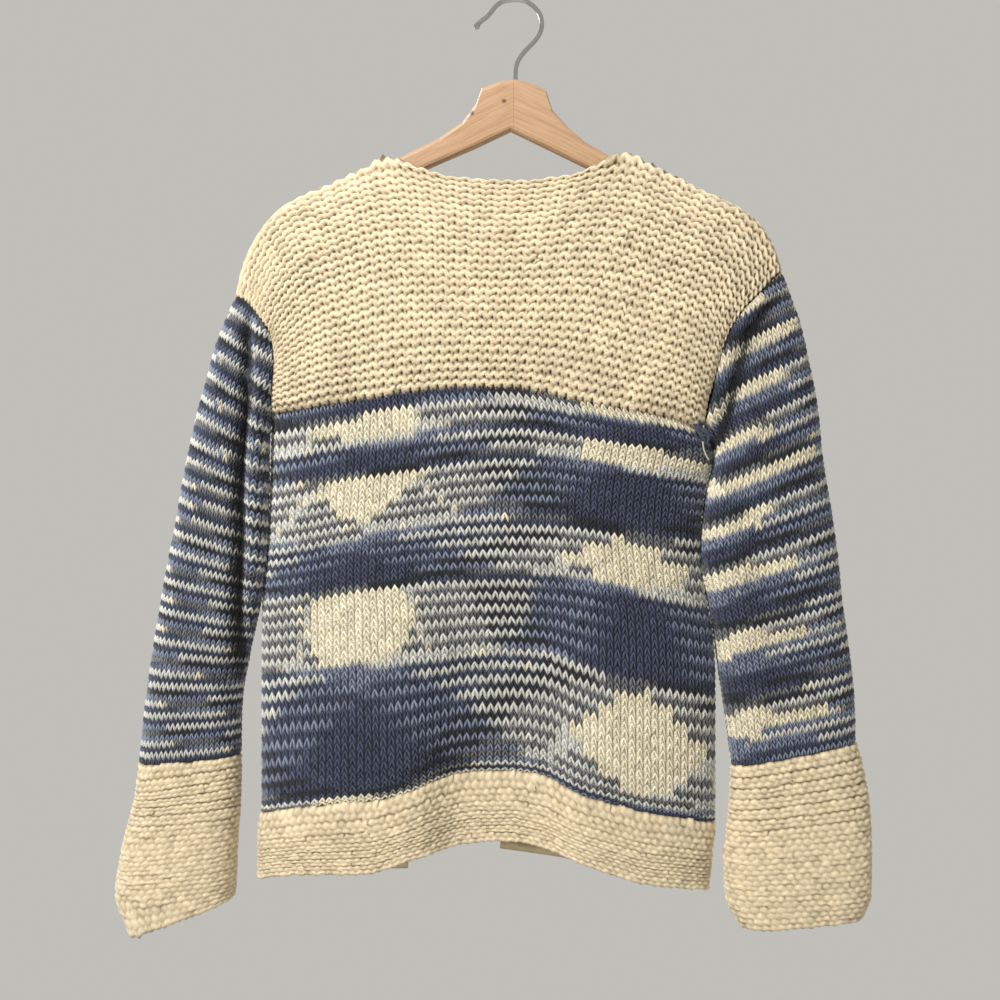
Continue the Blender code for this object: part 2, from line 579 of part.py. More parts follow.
def build_cloth():
    cream = material("cream_wool", (0.66, 0.53, 0.35), 0.9)
    dyed = material("dyed_wool", (0.12, 0.15, 0.24), 0.9)
    across = np.concatenate([clustered(10, 0.2) * 0.31, 0.31 + clustered(12, 0.2)[1:] * 0.36,
                             0.67 + clustered(10, 0.2)[1:] * 0.33])
    front_across = np.concatenate([clustered(9, 0.3) * 0.66, 0.66 + clustered(4, 0.0)[1:] * 0.34])
    around = np.concatenate([1 - front_across[::-1], 1 + across[1:], 2 + front_across[1:]])
    levels = np.array((0, 0.09, 0.18, 0.27, 0.36, 0.45, 0.55, 0.65, 0.74, 0.83, 0.92, 1.0, 1.12, 1.5, 2.0))
    body = np.stack([body_row(v, around) for v in levels])
    body_normal = normals_of(body, False)
    body_normal *= -np.sign(body_normal[3, len(around) // 2, 1])
    panel = body[:12].copy()
    near_side = 2 * np.exp(-(((around - 1) / 0.03) ** 2)) + 6 * np.exp(-(((around - 2) / 0.07) ** 2))
    panel[0, :, 2] -= GAP * (1 + near_side)
    hem = body[11:].copy()
    hem[0, :, 2] -= GAP * 2
    shell("body_panel", panel, STOCKINETTE, dyed, normal=body_normal[:12])
    shell("body_hem", hem, GARTER, cream, normal=body_normal[11:])

    down = np.array((0.0, 0.024, 0.048, 0.075, 0.13, 0.23, 0.35, 0.48, 0.61, 0.73, 0.84, 0.93, 1.0))
    trim = GAP / 2 / 150
    yoke_rows = trim + (1 - trim) * down
    back = back_yoke(across, yoke_rows)
    back_normal = -normals_of(back, False)
    if np.sum(back_normal[-1] * body_normal[0, 13:46]) < 0:
        back_normal = -back_normal
    on_ridge = 1 - ease(np.minimum(across - 0.31, 0.67 - across) / 0.035)
    ridge_normals(back, back_normal, on_ridge)
    back_normal[-1] = body_normal[0, 13:46]
    thin = np.full(back.shape[:2], GARTER)
    thin[:, (0, -1)] *= SEWN
    shell("back_yoke", back, thin, cream, normal=back_normal)
    for side, word in ((-1, "left"), (1, "right")):
        front = front_yoke(side, front_across, yoke_rows)
        front_normal = normals_of(front, False)
        body_part = body_normal[0, :14][::-1] if side < 0 else body_normal[0, 45:]
        if np.sum(front_normal[-1] * body_part) < 0:
            front_normal = -front_normal
        ridge_normals(front, front_normal, 1 - ease((front_across - 0.66) / 0.10))
        front_normal[-1] = body_part
        thin = np.full(front.shape[:2], GARTER)
        thin[:, 0] *= SEWN
        shell("front_yoke_" + word, front, thin, cream, normal=front_normal)

        extra = np.array((0.12, 0.16, 0.2, 0.24, 0.28, 0.32, 0.4) if side < 0 else (0.1, 0.2, 0.3, 0.4))
        columns = sleeve_columns(side, yoke_rows, extra)
        sleeve_rows = np.concatenate([[0, 0.025, 0.06], np.linspace(0.11, 1.0, 11)])
        tube = sleeve(side, columns, sleeve_rows, yoke_rows)
        tube_normal = normals_of(tube, True)
        outwards = np.sum(tube_normal[5] * (tube[5] - tube[5].mean(0)))
        tube_normal *= np.sign(outwards)
        edge = 0 if side < 0 else len(across) - 1
        half = columns <= 0.5
        start = tube_normal[0, half]
        shared_rim(start, tube[0, half], back_normal[:, edge], back[:, edge])
        tube_normal[0, half] = start
        start = tube_normal[0, ~half]
        shared_rim(start, tube[0, ~half], front_normal[:, 0], front[:, 0])
        tube_normal[0, ~half] = start
        thin = np.full(tube.shape[:2], STOCKINETTE)
        thin[0] *= SEWN
        shell("sleeve_" + word, tube, thin, dyed, closed=True, normal=tube_normal)
        cuff_rows = np.array((0.0, 0.12, 0.35, 0.6, 0.85, 1.0))
        band = cuff(side, columns, cuff_rows)
        band[0] = tube[-1] - np.array((0.0, 0.0, GAP * 1.2))
        band_normal = normals_of(band, True)
        band_normal *= np.sign(np.sum(band_normal[2] * (band[2] - band[2].mean(0))))
        band_normal[0] = tube_normal[-1]
        shell("cuff_" + word, band, GARTER, cream, closed=True, normal=band_normal)


def build_hanger():
    wood = material("wood", (0.55, 0.33, 0.16), 0.45)
    steel = material("steel", (0.75, 0.75, 0.77), 0.2, 1.0)
    places = np.unique(np.concatenate([WOOD_TOP[:, 0], WOOD_UNDER[3:-3, 0]]))
    places = places[np.concatenate([[True], np.diff(places) > 1.0])]
    places = np.concatenate([[places[0] - 5.0, places[0] - 4.0, places[0] - 2.0], places,
                             [places[-1] + 2.0, places[-1] + 4.0, places[-1] + 5.0]])
    ends = {0: 0.35, 1: 0.62, 2: 0.9, len(places) - 3: 0.9, len(places) - 2: 0.62, len(places) - 1: 0.35}
    sections = []
    for k, x in enumerate(places):
        top = np.interp(x, WOOD_TOP[:, 0], WOOD_TOP[:, 1])
        under = np.interp(x, WOOD_UNDER[:, 0], WOOD_UNDER[:, 1])
        if x < WOOD_TOP[0, 0]:
            top += (x - WOOD_TOP[0, 0]) * 0.47
            under += (x - WOOD_TOP[0, 0]) * 0.47
        if x > WOOD_TOP[-1, 0]:
            top -= (x - WOOD_TOP[-1, 0]) * 0.47
            under -= (x - WOOD_TOP[-1, 0]) * 0.47
        share = ends.get(k, 1.0)
        middle = (top + under) / 2
        half = (top - under) / 2 * share
        section = []
        for quarter in range(4):
            for step in range(4):
                angle = math.radians(90 * quarter + 30 * step)
                cy = (WOOD_HALF - WOOD_CORNER) * (1 if quarter in (0, 3) else -1)
                cz = (half - WOOD_CORNER * share) * (1 if quarter < 2 else -1)
                section.append((x, cy + WOOD_CORNER * math.cos(angle), middle + cz
                                + WOOD_CORNER * share * math.sin(angle)))
        sections.append(section)
    hanger = loft("hanger", sections, wood)
    hole = [[(HOOK[-1, 0] + HOLE_RADIUS * math.cos(a), HOLE_RADIUS * math.sin(a), z)
             for a in np.linspace(0, 2 * math.pi, 16, endpoint=False)] for z in (HOLE_BOTTOM, -60.0)]
    cutter = loft("stem_hole_cutter", hole, wood)
    cutter.hide_render = True
    cutter.display_type = "WIRE"
    bore = hanger.modifiers.new("stem hole", "BOOLEAN")
    bore.operation = "DIFFERENCE"
    bore.solver = "EXACT"
    bore.object = cutter

    line = along(HOOK, np.linspace(0, 1, 44))
    tangent = np.gradient(line, axis=0)
    tangent /= np.linalg.norm(tangent, axis=1)[:, None]
    step = np.concatenate([[0], np.cumsum(np.linalg.norm(np.diff(line, axis=0), axis=1))])
    tip = np.array([(-3.2, 0.6), (-2.8, 1.6), (-1.8, 2.6), (-0.2, 3.2), (1.6, 2.6), (3.2, WIRE_RADIUS)])
    sections = []
    for place, radius in tip:
        centre = line[0] + tangent[0] * place
        sections.append(wire_section(centre, tangent[0], radius))
    for k in range(len(line)):
        if step[k] > 5.0:
            sections.append(wire_section(line[k], tangent[k], WIRE_RADIUS))
    loft("hook", sections, steel)


def wire_section(centre, tangent, radius):
    """Eight points round the wire, in the plane square to it."""
    across = np.array((-tangent[1], tangent[0]))
    out = []
    for k in range(8):
        angle = math.pi * (2 * k + 1) / 8
        reach = radius * math.cos(angle)
        out.append((centre[0] + across[0] * reach, radius * math.sin(angle), centre[1] + across[1] * reach))
    return out


clear_scene()
build_cloth()
build_hanger()
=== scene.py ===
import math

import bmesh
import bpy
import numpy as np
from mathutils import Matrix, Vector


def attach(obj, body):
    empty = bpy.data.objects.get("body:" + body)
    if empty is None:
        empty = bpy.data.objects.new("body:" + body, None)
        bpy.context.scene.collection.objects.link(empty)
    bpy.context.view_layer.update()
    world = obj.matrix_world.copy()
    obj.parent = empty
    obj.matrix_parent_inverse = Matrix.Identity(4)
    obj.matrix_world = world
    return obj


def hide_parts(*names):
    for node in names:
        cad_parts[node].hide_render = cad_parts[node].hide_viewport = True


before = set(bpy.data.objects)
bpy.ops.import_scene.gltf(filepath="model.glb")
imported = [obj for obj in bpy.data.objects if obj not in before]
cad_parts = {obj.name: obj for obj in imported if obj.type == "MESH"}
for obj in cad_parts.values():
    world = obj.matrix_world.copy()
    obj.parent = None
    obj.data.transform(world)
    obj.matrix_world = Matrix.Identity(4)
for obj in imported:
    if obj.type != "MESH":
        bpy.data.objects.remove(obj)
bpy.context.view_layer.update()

# %% [markdown]
# # A hand-knitted cardigan on a wooden hanger
# We dress a plain model of a cardigan in real stitches. The plain model gives the frame: the origin
# is the inner top of the hook's bend, +Z is up and the cardigan's back looks along -Y.
# Every size below is in millimetres until it becomes a mesh.

MM = 0.001
rng = np.random.default_rng(7)
print("nodes:", sorted(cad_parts))

# %% [markdown]
# ## The surfaces that carry the stitches
# Short tables give the places that shape the garment, and a few functions turn them into surfaces.
# A body row runs round from the left front's open edge, over the back, to the right front's.

# %% Sizes and tables of the garment
GAP = 0.3
YOKE_ROUND = 9.0
NECK_DEPTH = 16.0
UNDERARM_PUSH = 5.6
ARMHOLE_DEPTH = 21.0
SIDES = ((-1, "left"), (1, "right"))
# Shares of a yoke's width: where the back's neck edge starts and ends and how soon it leaves the
# ridge, and how much of a front lies on the ridge and how soon it leaves it.
NECK_START = 0.31
NECK_END = 0.67
NECK_TURN = 0.035
FRONT_RIDGE = 0.66
FRONT_TURN = 0.10
# How far the yokes sink between their edges, and the part of a sleeve that eases into the armhole.
BACK_SWELL = -6.0
FRONT_SWELL = -2.5
SLEEVE_EASE = 0.16
EDGE_ROWS = np.linspace(0.001, 1, 41)

# The body tube by height: v is 0 at the yoke line, 1 at the hem line and 2 at the hem's edge.
BODY = np.array([
    # v, left side x, right side x, left front edge x, right front edge x, back depth, front depth
    (0.00, -226.1, 173.5, -68.0, 32.0, 27.0, 26.0),
    (0.05, -226.4, 182.0, -69.5, 30.0, 27.0, 26.0),
    (0.10, -227.0, 183.9, -71.0, 28.0, 27.2, 26.1),
    (0.16, -227.6, 180.1, -72.6, 25.5, 27.5, 26.2),
    (0.24, -228.6, 174.9, -75.0, 22.0, 28.0, 26.3),
    (0.35, -231.0, 172.1, -78.0, 18.0, 28.3, 26.5),
    (0.50, -235.0, 178.2, -82.5, 11.0, 29.0, 26.8),
    (0.56, -235.3, 183.3, -84.0, 9.0, 29.2, 27.0),
    (0.66, -235.5, 185.7, -87.0, 4.0, 29.8, 27.2),
    (1.00, -235.9, 185.7, -97.0, -9.0, 31.0, 27.6),
    (1.12, -239.0, 184.6, -98.0, -10.0, 31.2, 27.7),
    (2.00, -239.3, 179.6, -102.7, -14.1, 32.0, 28.0),
])
# Heights of the knitted rows across the back, left side to right side.
ACROSS = np.array((-1, -0.92, -0.8, -0.65, -0.5, -0.35, -0.2, -0.05, 0.1, 0.25, 0.4, 0.55, 0.7, 0.85, 1))
ROWS = np.array([
    # v, then z at each place across
    (0.00, -387.3, -385.7, -382.2, -378.1, -373.8, -369.3, -366.1, -364.6,
     -365.0, -369.6, -376.4, -382.6, -386.9, -392.4, -403.3),
    (0.20, -465.8, -463.1, -458.5, -452.8, -448.7, -444.5, -440.1, -436.3,
     -434.4, -435.4, -438.4, -442.7, -447.2, -451.6, -455.6),
    (0.56, -585.3, -582.3, -578.7, -573.0, -568.1, -564.6, -562.0, -560.5,
     -560.2, -561.3, -565.2, -571.4, -577.9, -584.1, -591.4),
    (0.71, -642.7, -638.8, -635.3, -631.6, -627.4, -623.4, -620.4, -616.0,
     -615.1, -617.8, -630.4, -641.0, -645.9, -650.7, -657.7),
    (1.00, -760.3, -755.4, -750.9, -746.1, -743.1, -735.6, -723.9, -719.8,
     -719.2, -723.6, -738.0, -746.9, -755.2, -760.7, -768.7),
    (2.00, -822.4, -816.5, -812.6, -811.4, -810.0, -800.1, -792.2, -786.7,
     -785.7, -789.9, -799.7, -809.6, -820.0, -825.1, -831.9),
])
# Heights of the same rows on the two fronts, half way along and at the open edge.
FRONT_ROWS = np.array([
    # v, left half way, left edge, right half way, right edge
    (0.00, -384.5, -383.0, -392.0, -386.0),
    (0.20, -462.5, -460.0, -452.0, -446.0),
    (0.56, -585.0, -584.0, -584.0, -574.0),
    (0.71, -642.0, -641.0, -648.0, -634.0),
    (1.00, -760.0, -760.0, -761.0, -741.0),
    (2.00, -823.0, -822.0, -823.0, -803.0),
])
# The middle of the back sinks towards the fronts near the hem, between two flanks.
RECESS = {
    "left": -73.0, "left_width": 9.0, "right": 44.0, "right_width": 11.0,
    "depth": 20.0, "from": 0.45, "curve": 1.3, "more_at_hem": 3.0,
}

# The yoke's ridge over the hanger, its neck edge, and the armhole edges of the back.
RIDGE_LEFT = np.array([
    # x, z
    (-259.8, -276.9), (-253.3, -248.9), (-245.0, -229.5), (-234.9, -213.0), (-219.3, -196.6),
    (-203.8, -186.8), (-187.0, -179.0), (-163.5, -168.2), (-140.0, -156.6), (-120.8, -145.2),
])
NECK = np.array([
    # x, z
    (-120.8, -145.2), (-110.5, -150.8), (-83.0, -161.8), (-53.1, -169.1), (-23.4, -171.4), (2.6, -171.9),
    (27.7, -170.0), (49.0, -167.2), (66.0, -161.8), (87.9, -149.5), (105.1, -142.2),
])
RIDGE_RIGHT = np.array([
    # x, z
    (105.1, -142.2), (116.5, -148.6), (136.1, -159.0), (153.0, -167.6), (169.1, -176.0),
    (194.4, -187.6), (215.7, -199.4), (230.2, -213.0), (241.2, -232.2), (247.7, -252.7),
])
ARMHOLE = {
    # x, z from the shoulder tip to the underarm
    -1: np.array([(-259.8, -276.9), (-247.2, -285.2), (-233.2, -302.6), (-224.7, -317.0),
                  (-221.0, -340.6), (-223.5, -366.0), (-226.1, -387.3)]),
    1: np.array([(247.7, -252.7), (232.9, -268.5), (208.7, -293.4), (193.7, -318.5),
                 (182.6, -355.4), (176.1, -382.7), (173.5, -403.3)]),
}
# The fronts' neck edges, from the shoulder to the corner at the open edge.
FRONT_NECK = {
    # x, y, z
    -1: np.array([(-120.8, 0.0, -145.2), (-116.5, 11.0, -149.6), (-104.0, 14.5, -166.0),
                  (-86.0, 18.0, -191.0), (-67.5, 24.0, -218.6)]),
    1: np.array([(105.1, 0.0, -142.2), (101.0, 11.0, -147.0), (86.0, 14.5, -163.0),
                 (61.0, 18.0, -189.0), (36.0, 24.0, -217.0)]),
}

# The sleeves by length: v is 0 at the shoulder tip and 1 at the cuff.
SLEEVE = {
    # v, inner x, inner z, outer x, outer z, half depth
    -1: np.array([
        (0.00, -196.0, -319.0, -261.8, -278.2, 19.0),
        (0.09, -212.0, -356.0, -276.9, -315.8, 20.0),
        (0.17, -230.5, -388.0, -285.3, -349.7, 20.5),
        (0.25, -233.5, -419.2, -294.7, -383.5, 20.5),
        (0.33, -234.3, -452.1, -303.2, -420.2, 20.5),
        (0.42, -235.3, -486.9, -310.7, -457.8, 20.5),
        (0.48, -236.2, -513.2, -315.4, -486.0, 20.5),
        (0.58, -241.0, -550.8, -323.9, -530.1, 20.0),
        (0.73, -250.5, -606.3, -335.2, -595.0, 19.0),
        (0.87, -258.9, -658.0, -344.6, -659.9, 18.0),
        (1.00, -259.9, -705.9, -350.2, -714.4, 17.5),
    ]),
    1: np.array([
        (0.00, 176.2, -287.6, 248.7, -251.9, 19.0),
        (0.11, 176.2, -342.1, 264.7, -299.8, 20.0),
        (0.20, 179.5, -386.3, 274.1, -342.1, 21.0),
        (0.29, 189.8, -423.0, 281.6, -381.6, 21.0),
        (0.39, 182.2, -470.9, 286.3, -427.7, 21.0),
        (0.52, 178.4, -525.4, 295.7, -485.0, 21.0),
        (0.61, 183.2, -562.1, 301.3, -526.4, 20.5),
        (0.70, 189.6, -597.8, 305.1, -565.9, 20.0),
        (0.76, 192.3, -620.4, 308.8, -590.3, 19.5),
        (0.92, 201.6, -684.3, 316.4, -659.9, 18.0),
        (1.00, 205.3, -716.3, 317.3, -694.6, 17.5),
    ]),
}
CUFF = {
    # v, inner x, inner z, outer x, outer z, half depth
    -1: np.array([
        (0.00, -259.9, -706.3, -350.3, -714.8, 17.5),
        (0.12, -259.9, -723.8, -353.0, -738.8, 18.0),
        (0.35, -260.8, -755.7, -358.7, -764.2, 19.0),
        (0.60, -263.6, -792.4, -368.1, -804.6, 21.0),
        (0.85, -264.6, -825.3, -371.8, -837.5, 22.5),
        (1.00, -266.4, -840.3, -358.7, -874.2, 22.0),
    ]),
    1: np.array([
        (0.00, 205.3, -716.7, 317.4, -695.0, 17.5),
        (0.12, 204.4, -736.0, 323.9, -717.2, 18.0),
        (0.35, 202.5, -768.9, 330.5, -754.8, 19.0),
        (0.60, 198.8, -806.5, 332.3, -797.1, 21.0),
        (0.85, 200.6, -841.3, 331.4, -837.5, 22.5),
        (1.00, 213.7, -866.9, 323.9, -857.4, 22.0),
    ]),
}
# Long creases down the backs of the sleeves.
CREASE = {
    # z, x, depth, width
    -1: np.array([(-290.0, -245.4, 0.0, 6.0), (-325.0, -246.6, 6.0, 6.0), (-370.0, -248.2, 9.0, 6.5),
                  (-443.0, -252.8, 10.0, 7.0), (-561.0, -255.6, 9.0, 7.0), (-637.0, -262.2, 4.0, 8.0),
                  (-690.0, -268.0, 0.0, 9.0)]),
    1: np.array([(-300.0, 206.0, 0.0, 8.0), (-360.0, 204.0, 3.0, 9.0), (-450.0, 208.0, 2.0, 11.0),
                 (-560.0, 232.0, 3.0, 13.0), (-660.0, 246.0, 2.0, 12.0), (-710.0, 250.0, 0.0, 12.0)]),
}
print("the hem's edge is", round(float(BODY[-1, 2] - BODY[-1, 1]), 1), "mm wide")


# %% Reading a table smoothly
def smooth(table, column, at):
    """A column of a table read at `at`, by a monotone cubic through its rows."""
    key = table[:, 0]
    value = table[:, column]
    at = np.clip(np.asarray(at, float), key[0], key[-1])
    step = np.diff(key)
    slope = np.diff(value) / step
    bend = np.zeros(len(key))
    same = slope[:-1] * slope[1:] > 0
    first = 2 * step[1:] + step[:-1]
    second = step[1:] + 2 * step[:-1]
    with np.errstate(divide="ignore", invalid="ignore"):
        mean = (first + second) / (first / slope[:-1] + second / slope[1:])
    bend[1:-1] = np.where(same, mean, 0.0)
    bend[0] = slope[0]
    bend[-1] = slope[-1]
    k = np.clip(np.searchsorted(key, at, side="right") - 1, 0, len(step) - 1)
    t = (at - key[k]) / step[k]
    return (
        (1 + 2 * t) * (1 - t) ** 2 * value[k]
        + t * (1 - t) ** 2 * step[k] * bend[k]
        + t * t * (3 - 2 * t) * value[k + 1]
        + t * t * (t - 1) * step[k] * bend[k + 1]
    )


def along(points, at):
    """Points at fractions of the length of a smoothed line through `points`."""
    points = np.asarray(points, float)
    steps = np.linalg.norm(np.diff(points, axis=0), axis=1)
    key = np.concatenate([[0], np.cumsum(steps)])
    table = np.column_stack([key, points])
    where = np.asarray(at, float) * key[-1]
    return np.stack([smooth(table, c, where) for c in range(1, table.shape[1])], axis=-1)


def even(line, at):
    """Points at fractions of the length of a dense line."""
    steps = np.linalg.norm(np.diff(line, axis=0), axis=1)
    key = np.concatenate([[0], np.cumsum(steps)])
    where = np.asarray(at, float) * key[-1]
    return np.stack([np.interp(where, key, line[:, c]) for c in range(line.shape[1])], axis=-1)


def ease(t):
    """A soft step from 0 to 1."""
    t = np.clip(t, 0, 1)
    return t * t * (3 - 2 * t)


print("the back's middle at the hem line lies at z", float(smooth(ROWS, 8, 1.0)), "mm")

# %% The rows of the body
ARC_POINTS = 241


def recess(x, v):
    """How far the middle of the back sinks at this height."""
    share = max(0.0, (min(v, 1.0) - RECESS["from"]) / (1 - RECESS["from"]))
    size = RECESS["depth"] * share ** RECESS["curve"]
    size += RECESS["more_at_hem"] * max(0.0, v - 1)
    left = 1 / (1 + np.exp(-(x - RECESS["left"]) / RECESS["left_width"]))
    right = 1 / (1 + np.exp((x - RECESS["right"]) / RECESS["right_width"]))
    return size * left * right


def body_row(v, at):
    """A row of the body: `at` runs 0-1 over the left front, 1-2 over the back, 2-3 over the right front."""
    left, right, front_left, front_right, back_depth, front_depth = (smooth(BODY, c, v) for c in range(1, 7))
    middle = (left + right) / 2
    half = (right - left) / 2
    row_z = np.array([smooth(ROWS, c + 1, v) for c in range(len(ACROSS))])
    spans = (
        (math.asin((middle - front_left) / half), math.pi / 2),
        (math.pi / 2, 3 * math.pi / 2),
        (3 * math.pi / 2, 2 * math.pi - math.asin((front_right - middle) / half)),
    )
    at = np.asarray(at, float)
    out = np.zeros((len(at), 3))
    for part, (first, last) in enumerate(spans):
        angle = np.linspace(first, last, ARC_POINTS)
        s = -np.sin(angle)
        x = middle + half * s
        depth = back_depth if part == 1 else front_depth
        y = depth * np.cos(angle) * np.sqrt(1 + s * s)
        if part == 1:
            z = smooth(np.column_stack([ACROSS, row_z]), 1, s)
            y = y + recess(x, v) * (1 - s**8)
        else:
            # The columns of FRONT_ROWS that hold this front, read from the side to the open edge.
            c = 1 if part == 0 else 3
            from_side = (angle - first) / (last - first)
            if part == 0:
                from_side = 1 - from_side
            z_line = np.array([
                (0.0, row_z[0 if part == 0 else -1]),
                (0.5, smooth(FRONT_ROWS, c, v)),
                (1.0, smooth(FRONT_ROWS, c + 1, v)),
            ])
            z = smooth(z_line, 1, from_side)
        low = part if part == 0 else part - 1e-12
        chosen = (at >= low) & (at <= part + 1)
        out[chosen] = even(np.column_stack([x, y, z]), at[chosen] - part)
    return out


hem_line = body_row(1.0, np.linspace(0, 3, 301))
hem_length = np.linalg.norm(np.diff(hem_line, axis=0), axis=1).sum()
print("from front edge to front edge the hem line is", round(float(hem_length)), "mm long")

# %% The sheets of the yoke
ARMHOLE_GROW = 0.35


def armhole_edge(side, v):
    """The armhole edge of the back yoke before its ridge is rounded, shoulder tip to underarm."""
    xz = along(ARMHOLE[side], v)
    share = YOKE_ROUND / ARMHOLE_DEPTH
    grow = share + (1 - share) * ease(v / ARMHOLE_GROW)
    y = -np.maximum(ARMHOLE_DEPTH * grow * np.sqrt(np.clip(1 - v**4, 0, 1)), GAP / 2)
    return np.stack([xz[..., 0], y, xz[..., 1]], axis=-1)


def sheet_over_ridge(top, round_by, bottom, first, last, u, rows, swell, face):
    """A Coons patch between four edges whose top is rounded over the ridge. Rows run down."""
    out = np.zeros((len(rows), len(u), 3))
    length = np.linalg.norm((bottom - top)[:, [0, 2]], axis=1)
    whole = length - round_by + math.pi * round_by / 2
    quarter = math.pi * round_by / 2
    radius = np.maximum(round_by, 1e-6)
    for j, v in enumerate(rows):
        s = v * whole
        turn = np.clip(s / radius, 0, math.pi / 2)
        down = np.where(s < quarter, round_by * (1 - np.cos(turn)), round_by + s - quarter)
        part = down / length
        grown = np.where(s < quarter, np.sin(turn), 1.0)
        straight_first = (1 - part)[:, None] * top[0] + part[:, None] * bottom[0]
        straight_last = (1 - part)[:, None] * top[-1] + part[:, None] * bottom[-1]
        point = (1 - part)[:, None] * top + part[:, None] * bottom
        point += (1 - u)[:, None] * (first(part) - straight_first)
        point += u[:, None] * (last(part) - straight_last)
        point[:, 1] += face * swell * np.sin(np.pi * part) * np.sin(np.pi * u) ** 0.7
        point[:, 1] -= face * round_by * (1 - grown)
        out[j] = point
    return out


def off_ridge(u):
    """0 where the back yoke lies on the hanger's ridge and 1 at its neck edge."""
    return ease(np.minimum(u - NECK_START, NECK_END - u) / NECK_TURN)


def back_yoke(u, rows):
    """The back yoke: u is 0 at the left armhole and 1 at the right one."""
    u = np.asarray(u, float)
    top = np.zeros((len(u), 3))
    parts = ((0, NECK_START, RIDGE_LEFT), (NECK_START, NECK_END, NECK), (NECK_END, 1.0, RIDGE_RIGHT))
    for start, end, line in parts:
        chosen = (u >= start) & (u <= end)
        top[chosen] = along(line, (u[chosen] - start) / (end - start))[:, [0, 0, 1]]
    in_neck = off_ridge(u)
    round_by = YOKE_ROUND * (1 - in_neck)
    top[:, 1] = -round_by - NECK_DEPTH * in_neck
    return sheet_over_ridge(
        top, round_by, body_row(0.0, 1 + u), lambda v: armhole_edge(-1, v), lambda v: armhole_edge(1, v),
        u, rows, BACK_SWELL, -1.0,
    )


def front_yoke(side, u, rows):
    """A front yoke: u is 0 at the armhole and 1 at the open edge."""
    u = np.asarray(u, float)
    ridge = RIDGE_LEFT if side < 0 else RIDGE_RIGHT[::-1]
    top = np.zeros((len(u), 3))
    on_ridge = u <= FRONT_RIDGE
    top[on_ridge] = along(ridge, u[on_ridge] / FRONT_RIDGE)[:, [0, 0, 1]]
    top[on_ridge, 1] = 0.0
    top[~on_ridge] = along(FRONT_NECK[side], (u[~on_ridge] - FRONT_RIDGE) / (1 - FRONT_RIDGE))
    round_by = YOKE_ROUND * (1 - ease((u - FRONT_RIDGE) / FRONT_TURN))
    top[:, 1] += round_by
    bottom = body_row(0.0, 1 - u if side < 0 else 2 + u)
    corner = FRONT_NECK[side][-1]

    def armhole(v):
        return armhole_edge(side, v) * np.array((1.0, -1.0, 1.0))

    def open_edge(v):
        return (1 - v)[:, None] * corner + v[:, None] * bottom[-1]

    return sheet_over_ridge(top, round_by, bottom, armhole, open_edge, u, rows, FRONT_SWELL, 1.0)


print("the yoke is", round(float(RIDGE_RIGHT[-1, 0] - RIDGE_LEFT[0, 0]), 1), "mm wide at the shoulders")

# %% The tubes of the sleeves and cuffs
RING_POINTS = 181


def ring(table, v, f, crease=None):
    """A flattened ring round a sleeve or cuff: f runs 0 at the inner side, 0.5 at the outer side, 1."""
    ix, iz, ox, oz, depth = (float(smooth(table, c, v)) for c in range(1, 6))
    angle = np.linspace(-math.pi / 2, math.pi / 2, RING_POINTS)
    across = np.sin(angle)
    bulge = depth * np.cos(angle) * np.sqrt(1 + across * across)
    x = (ix + ox) / 2 + (ox - ix) / 2 * across
    z = (iz + oz) / 2 + (oz - iz) / 2 * across
    half = even(np.column_stack([x, bulge, z]), 2 * np.minimum(f, 1 - f))
    half[:, 1] *= np.where(f <= 0.5, -1.0, 1.0)
    if crease is not None:
        falling = crease * np.array((-1, 1, 1, 1))
        middle, deep, width = (smooth(falling, c, -half[:, 2]) for c in (1, 2, 3))
        groove = deep * np.exp(-(((half[:, 0] - middle) / width) ** 2))
        half[:, 1] += groove * (half[:, 1] < 0)
    return half


def armhole_start(side):
    """The line where a sleeve starts: the yoke's armhole edge moved out by the gap, underarm to tip."""
    edge = back_yoke(np.array((0.0, 1.0)), EDGE_ROWS[::-1])[:, 0 if side < 0 else 1]
    key = 1 - EDGE_ROWS[::-1]
    tangent = np.gradient(edge, key, axis=0)
    tangent /= np.linalg.norm(tangent, axis=1)[:, None]
    out_of_edge = np.stack([side * np.abs(tangent[:, 2]), 0 * key, -np.abs(tangent[:, 0])], axis=1)
    push = ease(1 - key / 0.5)
    moved = edge + out_of_edge * GAP * 2
    moved[:, 0] += side * UNDERARM_PUSH * push
    moved[:, 2] += 1.0 * push
    return key, moved


def meeting(side, key, moved):
    """For places round the half ring: the length where each meets the armhole, and the place on it."""
    g = np.linspace(0, 0.5, 101)
    scan = np.linspace(0, 0.45, 226)
    lines = np.stack([ring(SLEEVE[side], v, g) for v in scan])
    edge_x = np.interp(-lines[:, :, 2], -moved[::-1, 2], moved[::-1, 0])
    outside = side * (lines[:, :, 0] - edge_x) > 0
    outside |= lines[:, :, 2] < moved[0, 2]
    outside[0] = False
    last = outside.shape[0] - 1 - np.argmin(outside[::-1], axis=0)
    start = scan[last]
    met = np.interp(-lines[last, np.arange(len(g)), 2], -moved[::-1, 2], key[::-1])
    met = np.maximum.accumulate(np.clip(met - met[0] * (1 - 2 * g) ** 3, 0, 1))
    met = met + np.linspace(0, 1e-6, len(g))
    met[-1] = 1.0
    return g, start, met


def hung_from(side, f):
    """For places round the sleeve: the length where the cloth starts, and the shift to the armhole."""
    key, moved = armhole_start(side)
    g_scan, start_scan, met_scan = meeting(side, key, moved)
    g = np.minimum(f, 1 - f)
    start = np.interp(g, g_scan, start_scan)
    met = np.interp(g, g_scan, met_scan)
    target = np.stack([np.interp(met, key, moved[:, c]) for c in range(3)], axis=1)
    target[:, 1] *= np.where(f <= 0.5, 1.0, -1.0)
    plain = np.stack([ring(SLEEVE[side], start[k], f[k:k + 1])[0] for k in range(len(f))])
    return start, target - plain


